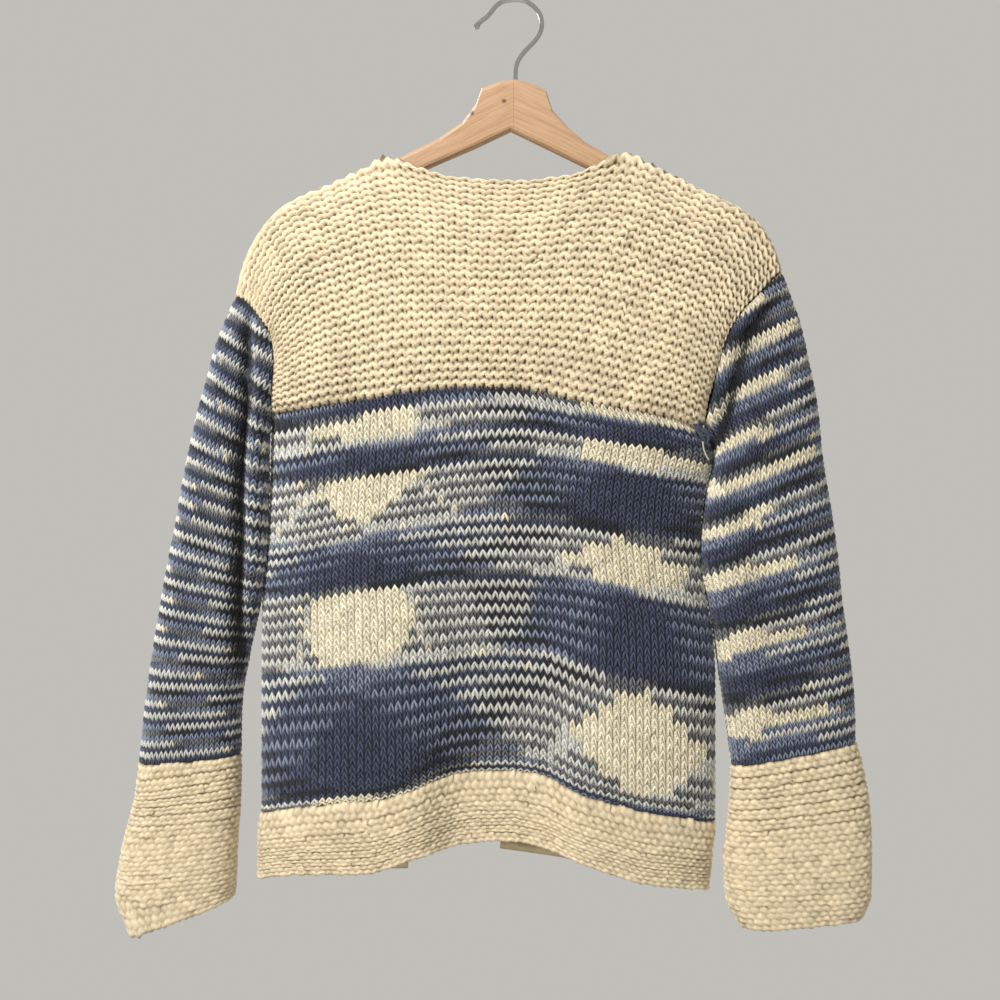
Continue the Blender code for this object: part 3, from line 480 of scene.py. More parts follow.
def sleeve_grid(side, f, start, shift, lengths):
    """Sleeve points with a length of its own for each column of each row."""
    out = []
    for v in lengths:
        row = np.stack([ring(SLEEVE[side], v[k], f[k:k + 1], CREASE[side])[0] for k in range(len(f))])
        near = 1 - ease((v - start) / SLEEVE_EASE)
        out.append(row + near[:, None] * shift)
    return np.stack(out)


def sleeve(side, f, rows):
    """The sleeve with each column's length shared out from the armhole to the cuff."""
    start, shift = hung_from(side, f)
    return sleeve_grid(side, f, start, shift, [start + (1 - start) * t for t in rows])


def sleeve_by_rows(side, f, levels):
    """The sleeve on its true knitted rows, and the row where each column begins at the armhole."""
    start, shift = hung_from(side, f)
    grid = sleeve_grid(side, f, start, shift, [np.maximum(v, start) for v in levels])
    return grid, start * (len(levels) - 1)


def cuff(side, f, rows):
    """A cuff: f runs round it as round the sleeve."""
    return np.stack([ring(CUFF[side], v, f) for v in rows])


for side, word in SIDES:
    print("the", word, "cuff is", round(float(CUFF[side][-1, 5] * 2), 1), "mm deep at its end")

# %% Which way the cloth looks
def normals_of(grid, closed):
    """Unit normals of a grid of points, rows down and columns across."""
    if closed:
        wide = np.concatenate([grid[:, -1:], grid, grid[:, :1]], axis=1)
        across = wide[:, 2:] - wide[:, :-2]
    else:
        across = np.gradient(grid, axis=1)
    down = np.gradient(grid, axis=0)
    normal = np.cross(across, down)
    with np.errstate(invalid="ignore"):
        return normal / np.linalg.norm(normal, axis=2)[:, :, None]


def outward(grid, closed=False, facing=None):
    """Unit normals that look away from each row's middle, or else to the side that `facing` gives.

    Points that lie together have no normal, and they have no say in the choice."""
    normal = normals_of(grid, closed)
    away = grid - grid.mean(axis=1, keepdims=True) if facing is None else np.array(facing)
    return -normal if np.nansum(normal * away) < 0 else normal


def ridge_normals(grid, normal, share):
    """Turns the first row's normals upright where the yoke lies on the ridge."""
    line = np.gradient(grid[0], axis=0)
    upright = np.stack([-line[:, 2], 0 * line[:, 0], line[:, 0]], axis=1)
    upright *= np.sign(upright[:, 2:3])
    upright /= np.linalg.norm(upright, axis=1)[:, None]
    if np.sum(normal[0] * upright) < 0:
        upright = -upright
    mixed = upright * share[:, None] + normal[0] * (1 - share[:, None])
    normal[0] = mixed / np.linalg.norm(mixed, axis=1)[:, None]


# %% [markdown]
# ## Knitting a surface
# A stitch is a small cell of points: how far each point moves down the row, and how high it stands.
# A flat mesh with an image of stitches would be lighter, but its outline would stay smooth. Here
# `knit` repeats the cell over a surface, gives each stitch its dye, lines the inside of the cloth
# and closes the edges, so every piece is one closed body.

# %% A surface read between its points
def carried_on(grid):
    """The grid with one more row at each end, carried on in a straight line."""
    return np.concatenate([2 * grid[:1] - grid[1:2], grid, 2 * grid[-1:] - grid[-2:-1]])


def padded(grid, closed):
    """The grid with one more row and column at each side. A tube's columns go on round it."""
    if closed:
        wide = np.concatenate([grid[:, -1:], grid, grid[:, :2]], axis=1)
    else:
        wide = carried_on(grid.swapaxes(0, 1)).swapaxes(0, 1)
    return carried_on(wide)


def spline_shares(t):
    """The shares of four neighbours at a place between the middle two."""
    return (
        ((2 - t) * t - 1) * t / 2,
        ((3 * t - 5) * t * t + 2) / 2,
        ((4 - 3 * t) * t + 1) * t / 2,
        (t - 1) * t * t / 2,
    )


def sample(grid, row, column, closed):
    """A smooth reading of a grid at fractional rows and columns."""
    wide = padded(grid, closed)
    rows, columns = grid.shape[:2]
    if closed:
        column = np.mod(column, columns)
    first_column = np.clip(np.floor(column).astype(int), 0, columns - (1 if closed else 2))
    first_row = np.clip(np.floor(row).astype(int), 0, rows - 2)
    out = 0.0
    for i, down in enumerate(spline_shares(row - first_row)):
        for j, across in enumerate(spline_shares(column - first_column)):
            out = out + (down * across)[..., None] * wide[first_row + i, first_column + j]
    return out


def relax(grid, rounds):
    """Eases sharp folds out of a grid, whose edges stay where they are."""
    grid = grid.copy()
    for _ in range(rounds):
        around = grid[:-2, 1:-1] + grid[2:, 1:-1] + grid[1:-1, :-2] + grid[1:-1, 2:]
        grid[1:-1, 1:-1] = grid[1:-1, 1:-1] * 0.4 + around * 0.15
    return grid


# %% Stitch cells: rows of points down the stitch, four points across it
# Each cell holds, for its points, the shift down the row in stitches and the height over the cloth
# in mm. Then it says how far the crests stand out, how uneven the hand knits, whether every other
# row lies half a stitch along as bricks do, and whether its first row starts straight.
POINTS_ACROSS = 4
CELLS = {
    # the stockinette stitch stands like an upturned V, its two legs meeting at the top
    "stockinette": {
        "down": [(0.50, 0.03, -0.48, 0.03), (0.46, 0.0, -0.44, 0.0), (0.50, -0.03, -0.46, -0.03)],
        "high": [(-2.2, -1.35, -1.7, -1.35), (-1.75, 0.25, -0.25, 0.25), (-1.9, 0.25, -1.6, 0.25)],
        "crest": 2.5, "uneven": 0.05, "brick": False, "straight_start": False,
    },
    # the yoke's garter ridges lie stretched: a waving strand with a hole under each crest
    "arches": {
        "down": [(0.24, 0.04, -0.26, 0.04), (0.20, 0.02, -0.22, 0.02),
                 (0.18, 0.02, -0.20, 0.02), (0.20, 0.04, -0.16, 0.04)],
        "high": [(-1.2, -0.7, -2.3, -0.7), (0.0, 0.25, 0.45, 0.25),
                 (0.1, 0.15, 0.2, 0.15), (-2.4, -0.5, -3.4, -0.5)],
        "crest": 2.7, "uneven": 0.06, "brick": False, "straight_start": False,
    },
    # the hem's and cuffs' garter is close: rows of beads, each row half a bead along
    "beads": {
        "down": [(0.16, 0.06, -0.10, 0.0), (0.12, 0.04, -0.08, 0.02), (0.10, 0.02, -0.04, 0.06)],
        "high": [(-1.4, -0.9, -0.8, -1.2), (-0.9, -0.3, 0.4, 0.1), (-0.6, 0.25, 0.3, -0.5)],
        "crest": 2.9, "uneven": 0.09, "brick": True, "straight_start": True,
    },
}
print("stitch cells:", {kind: (len(cell["down"]), POINTS_ACROSS) for kind, cell in CELLS.items()})

# %% Where a piece's points lie and how high they stand
UNEVEN_HEIGHT = 2.2
FURROW_FADE_ROWS = 4
HOLE_BELOW = -1.0


def stitch_points(cell, rows, stitches, closed, furrow, deeper):
    """The chart of a piece's points, then the row, column and height of each one."""
    down = np.array(cell["down"], float)
    high = np.array(cell["high"], float)
    count_down = rows * len(down) + 1
    count_across = stitches * POINTS_ACROSS + (0 if closed else 1)
    j, i = np.meshgrid(np.arange(count_down), np.arange(count_across), indexing="ij")
    row_of = np.minimum(j // len(down), rows - 1)
    in_row = j % len(down)
    shift = np.where((row_of % 2 == 1) & cell["brick"], POINTS_ACROSS // 2, 0)
    in_stitch = (i + shift) % POINTS_ACROSS
    depth, share = furrow
    fade = np.clip((share * rows - row_of) / FURROW_FADE_ROWS, 0, 1)
    height = high[in_row, in_stitch] - depth * fade * ((in_row == 0) & (row_of % 2 == 0))
    own = rng.normal(0, 1, (rows + 1, stitches + 1, 3))[row_of, np.minimum(i // POINTS_ACROSS, stitches)]
    own = own * cell["uneven"]
    plain_row = j / len(down)
    plain_column = i / POINTS_ACROSS
    wave = down[in_row, in_stitch] * (np.clip(plain_row, 0, 1) if cell["straight_start"] else 1.0)
    row = plain_row + wave + own[..., 0]
    column = plain_column + own[..., 1]
    if not closed:
        column = np.where((i == 0) | (i == count_across - 1), plain_column, column)
    height = height + UNEVEN_HEIGHT * own[..., 2]
    if deeper is not None:
        height = np.where(height < HOLE_BELOW, height * deeper(plain_row, plain_column), height)
    return np.stack([plain_column, plain_row], axis=-1), row, column, height


def begin_at(first, row, height, numbers):
    """Each column begins at its own row: its points above that row become one, low on the seam."""
    start = np.interp(np.arange(row.shape[1]) / POINTS_ACROSS, np.arange(len(first)), first)
    above = row < start
    above[-1] = False
    row = np.maximum(row, start)
    height = np.where(row < start + 0.7, np.minimum(height, -0.9), height)
    last = above.sum(axis=0) - 1
    for c in np.flatnonzero(last > 0):
        numbers[:last[c] + 1, c] = numbers[last[c], c]
    return row, height


# %% The inside of the cloth
INSIDE_LIGHT = 0.35
RIDGE_HEIGHT = 0.6
RIDGE_LIGHT = 0.6


def lined(base, normal, lining, back):
    """The points of the inside and how light they are: ridged by row, or smooth on a lining's grid."""
    grid, way = lining or (base, normal)
    ridge = RIDGE_HEIGHT * (np.arange(len(grid)) % 2) * (lining is None)
    inside = grid - way * (back + ridge)[:, None, None]
    return inside, INSIDE_LIGHT + np.repeat(ridge * RIDGE_LIGHT, grid.shape[1])


# %% Faces between rows of points, and along the edges
def quads(numbers, closed):
    """The faces of a grid of point numbers, each with its row and column."""
    rows, columns = numbers.shape
    for a in range(rows - 1):
        for b in range(columns if closed else columns - 1):
            k = (b + 1) % columns
            corners = (numbers[a, b], numbers[a, k], numbers[a + 1, k], numbers[a + 1, b])
            face = tuple(dict.fromkeys(corners))
            if len(face) > 2:
                yield face, a, b


def zip_edges(a, b, looped):
    """Triangles that join two lines of point numbers."""
    faces = []
    i = 0
    j = 0
    steps_a = len(a) if looped else len(a) - 1
    steps_b = len(b) if looped else len(b) - 1
    while i < steps_a or j < steps_b:
        if j >= steps_b or (i < steps_a and (i + 0.5) * steps_b <= (j + 0.5) * steps_a):
            faces.append((a[i % len(a)], a[(i + 1) % len(a)], b[j % len(b)]))
            i += 1
        else:
            faces.append((a[i % len(a)], b[(j + 1) % len(b)], b[j % len(b)]))
            j += 1
    return faces


def edge_faces(outer, inner, closed):
    """The faces that close a piece between its outside and its inside."""
    edges = [(outer[0, ::-1], inner[0, ::-1]), (outer[-1], inner[-1])]
    if not closed:
        edges += [(outer[:, 0], inner[:, 0]), (outer[::-1, -1], inner[::-1, -1])]
    return [face for a, b in edges for face in zip_edges(a, b, closed)]


# %% What each stitch carries for its material
def paint(mesh, name, domain, values):
    mesh.attributes.new(name, "FLOAT", domain).data.foreach_set("value", values)


def dye_stitches(mesh, stitch_of, rows, stitches, dye):
    """Each face gets its stitch's dye and a small tint. Edges and smooth linings get middling ones."""
    row, stitch = np.array(stitch_of).T
    shade = rng.uniform(0, 1, (rows, stitches + 1))
    value = dye(row, stitch)
    others = len(mesh.polygons) - len(value)
    paint(mesh, "dye", "FACE", np.append(value, np.full(others, np.median(value))))
    paint(mesh, "tint", "FACE", np.append(shade[row, stitch], np.full(others, 0.5)))


def lay_chart(mesh, flat):
    """A map in rows and stitches, which the yarn's twist follows."""
    corner = np.zeros(len(mesh.loops), int)
    mesh.loops.foreach_get("vertex_index", corner)
    mesh.uv_layers.new(name="stitches").data.foreach_set("uv", flat[corner].reshape(-1))


# %% A mesh made into a piece
def turn_outwards(mesh):
    """Turns the faces outwards and counts the triangles and the open edges."""
    bm = bmesh.new()
    bm.from_mesh(mesh)
    bmesh.ops.recalc_face_normals(bm, faces=bm.faces)
    bm.to_mesh(mesh)
    triangles = sum(len(face.verts) - 2 for face in bm.faces)
    open_edges = sum(1 for edge in bm.edges if len(edge.link_faces) != 2)
    bm.free()
    return triangles, open_edges


def hand_over(name, mesh, look):
    """A smooth piece with its look, handed to the frame."""
    mesh.polygons.foreach_set("use_smooth", [True] * len(mesh.polygons))
    mesh.materials.append(look)
    made = bpy.data.objects.new(name, mesh)
    bpy.context.scene.collection.objects.link(made)
    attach(made, "root")
    return made


# %% Knitting
# A point's height sets its painted light: as low as DARK_AT it is painted almost dark, as high as LIGHT_AT
# fully lit.
DARK_AT = -2.6
LIGHT_AT = 0.4


def knit(name, base, normal, kind, dye, look, back, closed=False, furrow=(0.0, 1.0), first=None,
         lining=None, deeper=None, rolls_and_shade=None):
    """A knitted piece on a base grid with one point at each stitch's corner, rows down, columns across.

    dye(row, stitch) gives each stitch its place in the yarn's dyeing. `furrow` is the depth between
    pairs of rows and the share of the rows that has it. `first` is the row, for each column, where
    the cloth begins. `lining` is a grid for the inside with its normals; without it the inside
    follows the cloth's own rows. deeper(row, column) opens the holes, sinking them deeper, which also
    darkens their painted shade. The last argument gives how far rolls rise and creases fall; what
    falls doesn't move, it is only painted shade. Each point's height sets the painted light on its
    colour, so low points get painted shade."""
    cell = CELLS[kind]
    rows = len(base) - 1
    stitches = base.shape[1] - (0 if closed else 1)
    chart, row, column, height = stitch_points(cell, rows, stitches, closed, furrow, deeper)
    numbers = np.arange(height.size).reshape(height.shape)
    if first is not None:
        row, height = begin_at(first, row, height, numbers)
    point = sample(base, row, column, closed)
    way = sample(normal, row, column, closed)
    way /= np.linalg.norm(way, axis=2)[..., None]
    # Rolls rise in the mesh; where rolls and creases fall nothing moves, and only the painted light gets
    # darker.
    rise_and_shade = np.zeros_like(height) if rolls_and_shade is None else rolls_and_shade(point)
    outer = point + way * np.maximum(rise_and_shade, 0)[..., None] + way * (cell["crest"] + height)[..., None]
    light = np.clip((height + np.minimum(rise_and_shade, 0) - DARK_AT) / (LIGHT_AT - DARK_AT), 0, 1)

    inner, inner_light = lined(base, normal, lining, back)
    inner_numbers = numbers.size + np.arange(inner_light.size).reshape(inner.shape[:2])
    faces = []
    stitch_of = []
    for face, a, b in quads(numbers, closed):
        faces.append(face)
        stitch_of.append((a // len(cell["down"]), b // POINTS_ACROSS))
    for face, a, b in quads(inner_numbers, closed):
        faces.append((face[0], *face[:0:-1]))
        if lining is None:
            stitch_of.append((a, b))
    faces += edge_faces(numbers, inner_numbers, closed)

    # Each point also carries its painted light, which the material lays on the yarn's colour.
    points = np.concatenate([outer.reshape(-1, 3), inner.reshape(-1, 3)])
    painted_light = np.concatenate([light.reshape(-1), inner_light])
    flat = np.concatenate([chart.reshape(-1, 2), np.zeros((inner_light.size, 2))])
    used = np.unique(np.concatenate(faces))
    renumber = np.zeros(len(points), int)
    renumber[used] = np.arange(len(used))
    faces = [tuple(int(renumber[n]) for n in face) for face in faces]
    mesh = bpy.data.meshes.new(name)
    mesh.from_pydata([tuple(p) for p in points[used] * MM], [], faces)
    paint(mesh, "painted_light", "POINT", painted_light[used])
    dye_stitches(mesh, stitch_of, rows, stitches, dye)
    lay_chart(mesh, flat[used])
    made = hand_over(name, mesh, look)
    triangles, open_edges = turn_outwards(mesh)
    print(name, "stitches:", rows * stitches, "triangles:", triangles, "open edges:", open_edges)
    return made


# %% [markdown]
# ## Looks
# A few lines of operators make the shader sums readable: a `Value` is a node socket that can be
# added, multiplied or raised to a power, and `Look` makes the nodes.

# %% Shader sums
class Value:
    """A number in a shader: a socket with Python's operators."""

    def __init__(self, look, socket):
        self.look = look
        self.socket = socket

    def sum(self, kind, other=None):
        return self.look.node("ShaderNodeMath", {"operation": kind}, [self, other])

    def __add__(self, other):
        return self.sum("ADD", other)

    def __sub__(self, other):
        return self.sum("SUBTRACT", other)

    def __mul__(self, other):
        return self.sum("MULTIPLY", other)

    def __pow__(self, other):
        return self.sum("POWER", other)

    def __rsub__(self, other):
        return self * -1 + other

    __radd__ = __add__
    __rmul__ = __mul__

    def limit(self):
        return self.sum("MAXIMUM", 0.0).sum("MINIMUM", 1.0)

    def remap(self, low, high, to_low=0.0, to_high=1.0):
        return ((self - low) * (1 / (high - low))).limit() * (to_high - to_low) + to_low


class Look:
    """A Principled material and the nodes that drive it."""

    def __init__(self, name, roughness, metallic=0.0, sheen=0.0, coat=0.0, colour=None):
        self.made = bpy.data.materials.new(name)
        self.made.use_nodes = True
        self.tree = self.made.node_tree
        self.shader = self.tree.nodes["Principled BSDF"]
        self.shader.inputs["Roughness"].default_value = roughness
        self.shader.inputs["Metallic"].default_value = metallic
        self.shader.inputs["Sheen Weight"].default_value = sheen
        self.shader.inputs["Sheen Roughness"].default_value = 0.5
        self.shader.inputs["Coat Weight"].default_value = coat
        if colour is not None:
            self.shader.inputs["Base Color"].default_value = (*colour, 1)

    def node(self, kind, settings=None, inputs=(), out=0):
        made = self.tree.nodes.new(kind)
        for key, value in (settings or {}).items():
            setattr(made, key, value)
        pairs = inputs.items() if isinstance(inputs, dict) else enumerate(inputs)
        for key, value in pairs:
            if value is None:
                continue
            if isinstance(value, Value):
                self.tree.links.new(value.socket, made.inputs[key])
            else:
                made.inputs[key].default_value = value
        return Value(self, made.outputs[out])

    def attribute(self, name):
        return self.node("ShaderNodeAttribute", {"attribute_name": name}, out="Fac")

    def noise(self, place, scale, detail, rough):
        inputs = {"Vector": place, "Scale": scale, "Detail": detail, "Roughness": rough}
        return self.node("ShaderNodeTexNoise", {}, inputs)

    def place(self):
        return self.node("ShaderNodeTexCoord", out="Object")

    def split(self, vector):
        """The three numbers of a vector."""
        first = self.node("ShaderNodeSeparateXYZ", {}, [vector])
        return [Value(self, socket) for socket in first.socket.node.outputs]

    def ramp(self, value, stops):
        made = self.node("ShaderNodeValToRGB", {}, {"Fac": value})
        band = made.socket.node.color_ramp
        while len(band.elements) > 1:
            band.elements.remove(band.elements[-1])
        band.elements[0].position = stops[0][0]
        band.elements[0].color = (*stops[0][1], 1)
        for at, colour in stops[1:]:
            band.elements.new(at).color = (*colour, 1)
        return made

    def multiply(self, colour, shade):
        """Two colours multiplied. A Math node would turn them grey."""
        settings = {"data_type": "RGBA", "blend_type": "MULTIPLY"}
        return self.node("ShaderNodeMix", settings, {0: 1.0, 6: colour, 7: shade}, out=2)

    def set(self, name, value):
        self.tree.links.new(value.socket, self.shader.inputs[name])

    def bump(self, height, strength, distance):
        inputs = {"Strength": strength, "Distance": distance, "Height": height}
        self.set("Normal", self.node("ShaderNodeBump", {}, inputs))


# %% [markdown]
# ## Yarn
# The real yarn is soft wool of two twisted plies. An image of a stitch could be laid over the
# cloth, but it would blur and slide. Here each stitch carries three numbers of its own: where it
# lies in the dyeing, a small tint, and how much light reaches it. The material reads them.

# %% How wool looks
FULL_TURN = 2 * math.pi


def yarn(name, stops, deepest_gap_light, soft, warm=0.0):
    """Wool: the dye by stitch, painted shade between the strands, twisted plies and fine fibres.

    The third argument is the painted light left in the deepest gaps, `soft` how slowly the painted
    shade gets dark between the strands, and `warm` how much warmer the painted dark is."""
    look = Look(name, roughness=0.92, sheen=0.25)
    place = look.place()
    fibre = look.noise(place, scale=900.0, detail=3.0, rough=0.65)
    cloud = look.noise(place, scale=22.0, detail=2.0, rough=0.5)
    phase = (look.attribute("dye") + (cloud - 0.5) * 0.02 + (fibre - 0.5) * 0.02).sum("FRACT")
    colour = look.ramp(phase, stops)
    pale = look.node("ShaderNodeRGBToBW", {}, [colour])
    # The painted shade of each point: darker in the gaps between the strands, and steeper for darker yarn.
    depth = look.attribute("painted_light").remap(0.08, 0.86)
    light = (depth ** (pale * -1.9 + (soft + 1.3))) * (1 - deepest_gap_light) + deepest_gap_light
    glow = [light, light ** (1 + warm), light ** (1 + 2.4 * warm)]
    grain = (look.attribute("tint") * 0.24 + 0.88) * (fibre * 0.30 + 0.85) * (cloud * 0.16 + 0.92)
    shade = look.node("ShaderNodeCombineColor", {}, [part * grain for part in glow])
    look.set("Base Color", look.multiply(colour, shade))
    across, along_rows, _ = look.split(look.node("ShaderNodeUVMap", {"uv_map": "stitches"}))
    leg = (across.sum("FRACT") - 0.5).sum("ABSOLUTE")
    twist = ((leg * 4.0 + along_rows * 3.0) * FULL_TURN).sum("SINE")
    hair = look.noise(place, scale=1500.0, detail=2.0, rough=0.7)
    look.bump(twist * 0.35 + hair + fibre, strength=0.55, distance=0.0006)
    return look.made


# %% Two wools, one undyed and one dyed
CREAM = (0.98, 0.88, 0.64)
WHITE = (0.76, 0.75, 0.68)
SLATE = (0.262, 0.302, 0.420)
NAVY = (0.080, 0.098, 0.172)
DEEP_NAVY = (0.055, 0.070, 0.135)
BLACK = (0.026, 0.030, 0.042)
GREY = (0.225, 0.226, 0.235)
UNDYED = [(0.0, (0.76, 0.62, 0.405)), (1.0, (0.86, 0.725, 0.495))]
cream_yarn = yarn("cream yarn", UNDYED, deepest_gap_light=0.07, soft=0.7, warm=0.12)
dyed_yarn = yarn("dyed yarn", [
    (0.000, CREAM), (0.095, CREAM), (0.110, WHITE), (0.290, WHITE), (0.310, SLATE), (0.410, SLATE),
    (0.450, NAVY), (0.560, DEEP_NAVY), (0.660, NAVY), (0.700, BLACK), (0.775, BLACK),
    (0.800, GREY), (0.890, GREY), (0.905, CREAM), (1.000, CREAM),
], deepest_gap_light=0.03, soft=1.0)
print("materials:", cream_yarn.name, "and", dyed_yarn.name)

# %% [markdown]
# ## The dye
# The yarn is dyed in a repeat, so its colours gather into pools: on the body a row is about one and
# a half repeats long. Along one column the dyeing moves slowly; to its right, every other row runs
# forwards and the rows between run back. Painting the patches on would miss these single rows.

# %% The dyeing and the body's stitches
REPEAT = 74.0
FRONT_STITCHES = 24
BACK_STITCHES = 63
BODY_ROWS = 63
POOL = np.array([
    # row, cycles of dye at the pooling column
    (0, 0.46), (1.0, 0.50), (1.7, 0.55), (2.3, 0.86), (3.0, 0.98), (5.0, 1.02), (6.2, 1.12), (7.0, 1.38),
    (8.9, 1.50), (11.0, 1.62), (12.0, 1.95), (13.0, 2.00), (16.0, 2.03), (19.7, 2.09), (21.5, 2.18),
    (23.2, 2.36), (27.7, 2.50), (31.0, 2.62), (32.0, 2.975), (37.0, 3.00), (42.3, 3.03), (43.6, 3.32),
    (45.0, 3.38), (51.6, 3.50), (58.6, 3.61), (60.5, 3.70), (61.6, 3.93), (63.0, 4.00),
])
POOL_STITCH = FRONT_STITCHES + 14.0
# Parts of the repeat: cream reaches this far to both sides of a whole cycle, and light this far on.
CREAM_PART = 0.09
WIDER_CREAM = 0.035
WIDER_FROM = 58
LIGHT_PART = 0.30
# Where white, slate and grey lie in the repeat.
WHITE_PART = 0.20
SLATE_PART = 0.36
GREY_PART = 0.85


def is_cream(phase, wider=0.0):
    return np.abs(phase - np.round(phase)) < CREAM_PART + wider


def is_light(phase):
    return (phase - np.floor(phase) < LIGHT_PART) | is_cream(phase)


def body_phase(row, stitch):
    """The cycles of dye up to a stitch of the body, knitted to and fro."""
    turn = np.where(row % 2 == 0, 1.0, -1.0)
    return smooth(POOL, 1, row + 0.5) + turn * (stitch - POOL_STITCH) / REPEAT


def body_dye(row, stitch):
    """Light stitches look cream only beside cream; by a dark row they look white, and light rows
    that lie together turn grey by turns. The cream runs a little longer on the right of the back."""
    wider = WIDER_CREAM * ease((stitch - WIDER_FROM) / 8)
    phase = body_phase(row, stitch)
    above = body_phase(np.maximum(row - 1, 0), stitch)
    below = body_phase(row + 1, stitch)
    cream = is_cream(phase, wider)
    block = cream & (is_cream(above, wider) | is_cream(below, wider))
    shown = np.where(block, 0.0, np.where(cream, WHITE_PART, phase))
    crowded = is_light(phase) & ~block & is_light(above) & is_light(below) & (row % 2 == 1)
    return np.mod(np.where(crowded, GREY_PART, shown), 1.0)


print("a body row is", round((BACK_STITCHES + 2 * FRONT_STITCHES) / REPEAT, 2), "repeats long")

# %% The dye on the sleeves
SLEEVE_STITCHES = 46
SLEEVE_ROWS = 78
SLEEVE_POOL = {
    # row, stitches really in the row
    -1: np.array([(0, 53.6), (24, 53.2), (32, 49.5), (46, 45.0), (78, 42.0)]),
    1: np.array([(0, 48.5), (30, 47.8), (50, 43.0), (78, 41.5)]),
}
SLEEVE_WHITE = 0.205
SLEEVE_START = {-1: 0.39, 1: 0.675}
# The left sleeve is knitted in rounds and the right one to and fro.
IN_ROUNDS = -1


def sleeve_dye(side):
    """The dye of one sleeve, as a function of row and stitch."""
    wide = smooth(SLEEVE_POOL[side], 1, np.arange(SLEEVE_ROWS + 2))
    before = np.concatenate([[0], np.cumsum(wide)])

    def phase(row, stitch):
        share = (stitch + 0.5) / SLEEVE_STITCHES
        forwards = before[row] + share * wide[row]
        backwards = before[row] + (1 - share) * wide[row]
        knitted = np.where((row % 2 == 0) | (side == IN_ROUNDS), forwards, backwards)
        return SLEEVE_START[side] + knitted / REPEAT

    def light(row, stitch):
        place = phase(row, stitch)
        return is_cream(place) | (place - np.floor(place) < SLEEVE_WHITE)

    def dye(row, stitch):
        """Two light rows together look cream, and one alone looks white. Knitted in rounds, light
        rows don't lie together."""
        place = np.mod(phase(row, stitch), 1.0)
        above = light(np.maximum(row - 1, 0), stitch)
        beside = above | light(row + 1, stitch)
        pair = np.where(above, SLATE_PART, WHITE_PART) if side == IN_ROUNDS else 0.0
        shown = np.where(light(row, stitch), np.where(beside, pair, WHITE_PART), place)
        return np.where((shown > SLEEVE_WHITE) & (shown < LIGHT_PART), SLATE_PART, shown)

    return dye


def plain_dye(row, stitch):
    """Undyed wool: each stitch lies anywhere between its darker and its lighter cream."""
    return rng.uniform(0.2, 0.8, len(row))


print("a sleeve row is", round(SLEEVE_STITCHES / REPEAT, 2), "repeats long")

# %% [markdown]
# ## The body
# The real body is one flat piece that goes from front edge to front edge round the sides, with a
# garter hem below. It could be a smooth shell with a bumpy material, but a hand-knitted edge shows
# its stitches, so each stitch is a real bump in the mesh.

# %% The body and its hem
HEM_ROWS = 14
around = np.concatenate([
    np.arange(FRONT_STITCHES) / FRONT_STITCHES,
    1 + np.arange(BACK_STITCHES) / BACK_STITCHES,
    2 + np.arange(FRONT_STITCHES + 1) / FRONT_STITCHES,
])
body_base = np.stack([body_row(v, around) for v in np.linspace(0, 1, BODY_ROWS + 1)])
hem_base = np.stack([body_row(v, around) for v in np.linspace(1, 2, HEM_ROWS + 1)])
panel = knit("knitted_body_panel", body_base, outward(body_base), "stockinette", body_dye, dyed_yarn,
             back=1.7)
hem = knit("knitted_body_hem", hem_base, outward(hem_base), "beads", plain_dye, cream_yarn,
           back=2.0, furrow=(0.4, 1.0))

# %% [markdown]
# ## The yoke
# The yoke is knitted in garter: every row shows its purl bumps outside. The hanger stretches it at
# the shoulders, and the holes between the strands open there. The back's middle hangs free, so the
# folds of the plain model are eased out of it.

# %% The back yoke
YOKE_RIDGES = 28
YOKE_STITCHES = 50
EASED = 40
back_u = np.linspace(0, 1, YOKE_STITCHES + 1)
yoke_v = np.linspace(0.001, 1, YOKE_RIDGES + 1)
back_base = back_yoke(back_u, yoke_v)
between_shoulders = ease((back_u - 0.14) / 0.08) * ease((0.86 - back_u) / 0.08)
back_base += (relax(back_base, EASED) - back_base) * between_shoulders[None, :, None]
back_normal = outward(back_base, facing=(0, -1, 0))
ridge_normals(back_base, back_normal, 1 - off_ridge(back_u))


def open_shoulders(row, column):
    """The holes are wider where the hanger stretches the shoulders: they sink deeper, so their painted shade
    is darker too.
    """
    side = np.abs(column / YOKE_STITCHES - 0.5) * 2
    return 1 + 0.5 * ease((side - 0.3) / 0.4) * ease((YOKE_RIDGES * 0.6 - row) / 8)


yoke_back = knit("knitted_back_yoke", back_base, back_normal, "arches", plain_dye, cream_yarn,
                 back=2.0, deeper=open_shoulders)

# %% The front yokes
YOKE_FRONT_STITCHES = 24


def hump(distance, width):
    """A smooth bump, 1 high in its middle."""
    return np.exp(-(distance / width) ** 2)


front_u = np.linspace(0, 1, YOKE_FRONT_STITCHES + 1)
near_fold = hump(front_u - 0.62, 0.22)
for side, word in SIDES:
    base = front_yoke(side, front_u, yoke_v)
    base += (relax(base, EASED) - base) * near_fold[None, :, None]
    normal = outward(base, facing=(0, 1, 0))
    ridge_normals(base, normal, 1 - ease((front_u - FRONT_RIDGE) / FRONT_TURN))
    # The right front's columns are turned round, so that they run the same way as the left front's.
    knit("knitted_front_yoke_" + word, base[:, ::-side], normal[:, ::-side], "arches",
                             plain_dye, cream_yarn, back=2.0)

# %% [markdown]
# ## Sleeves and cuffs
# Empty sleeves hang flat, with soft rolls and creases. A roll could be sculpted by hand. Here a
# roll is a smooth hump beside a line down the sleeve: the surface rises at the hump, and the
# crease next to it is only painted shade, so the outside never falls through the lining.

# %% Rolls and creases of the sleeves
LEFT_CREASE = np.array([
    # z, x
    (-640, -260), (-562, -255), (-476, -255), (-443, -252), (-370, -248), (-300, -245),
])
RIGHT_SEAM = np.array([
    # z, x
    (-400, 171), (-384, 177), (-357, 184), (-318, 194), (-292, 211), (-260, 242),
])
LEANING_X = 179


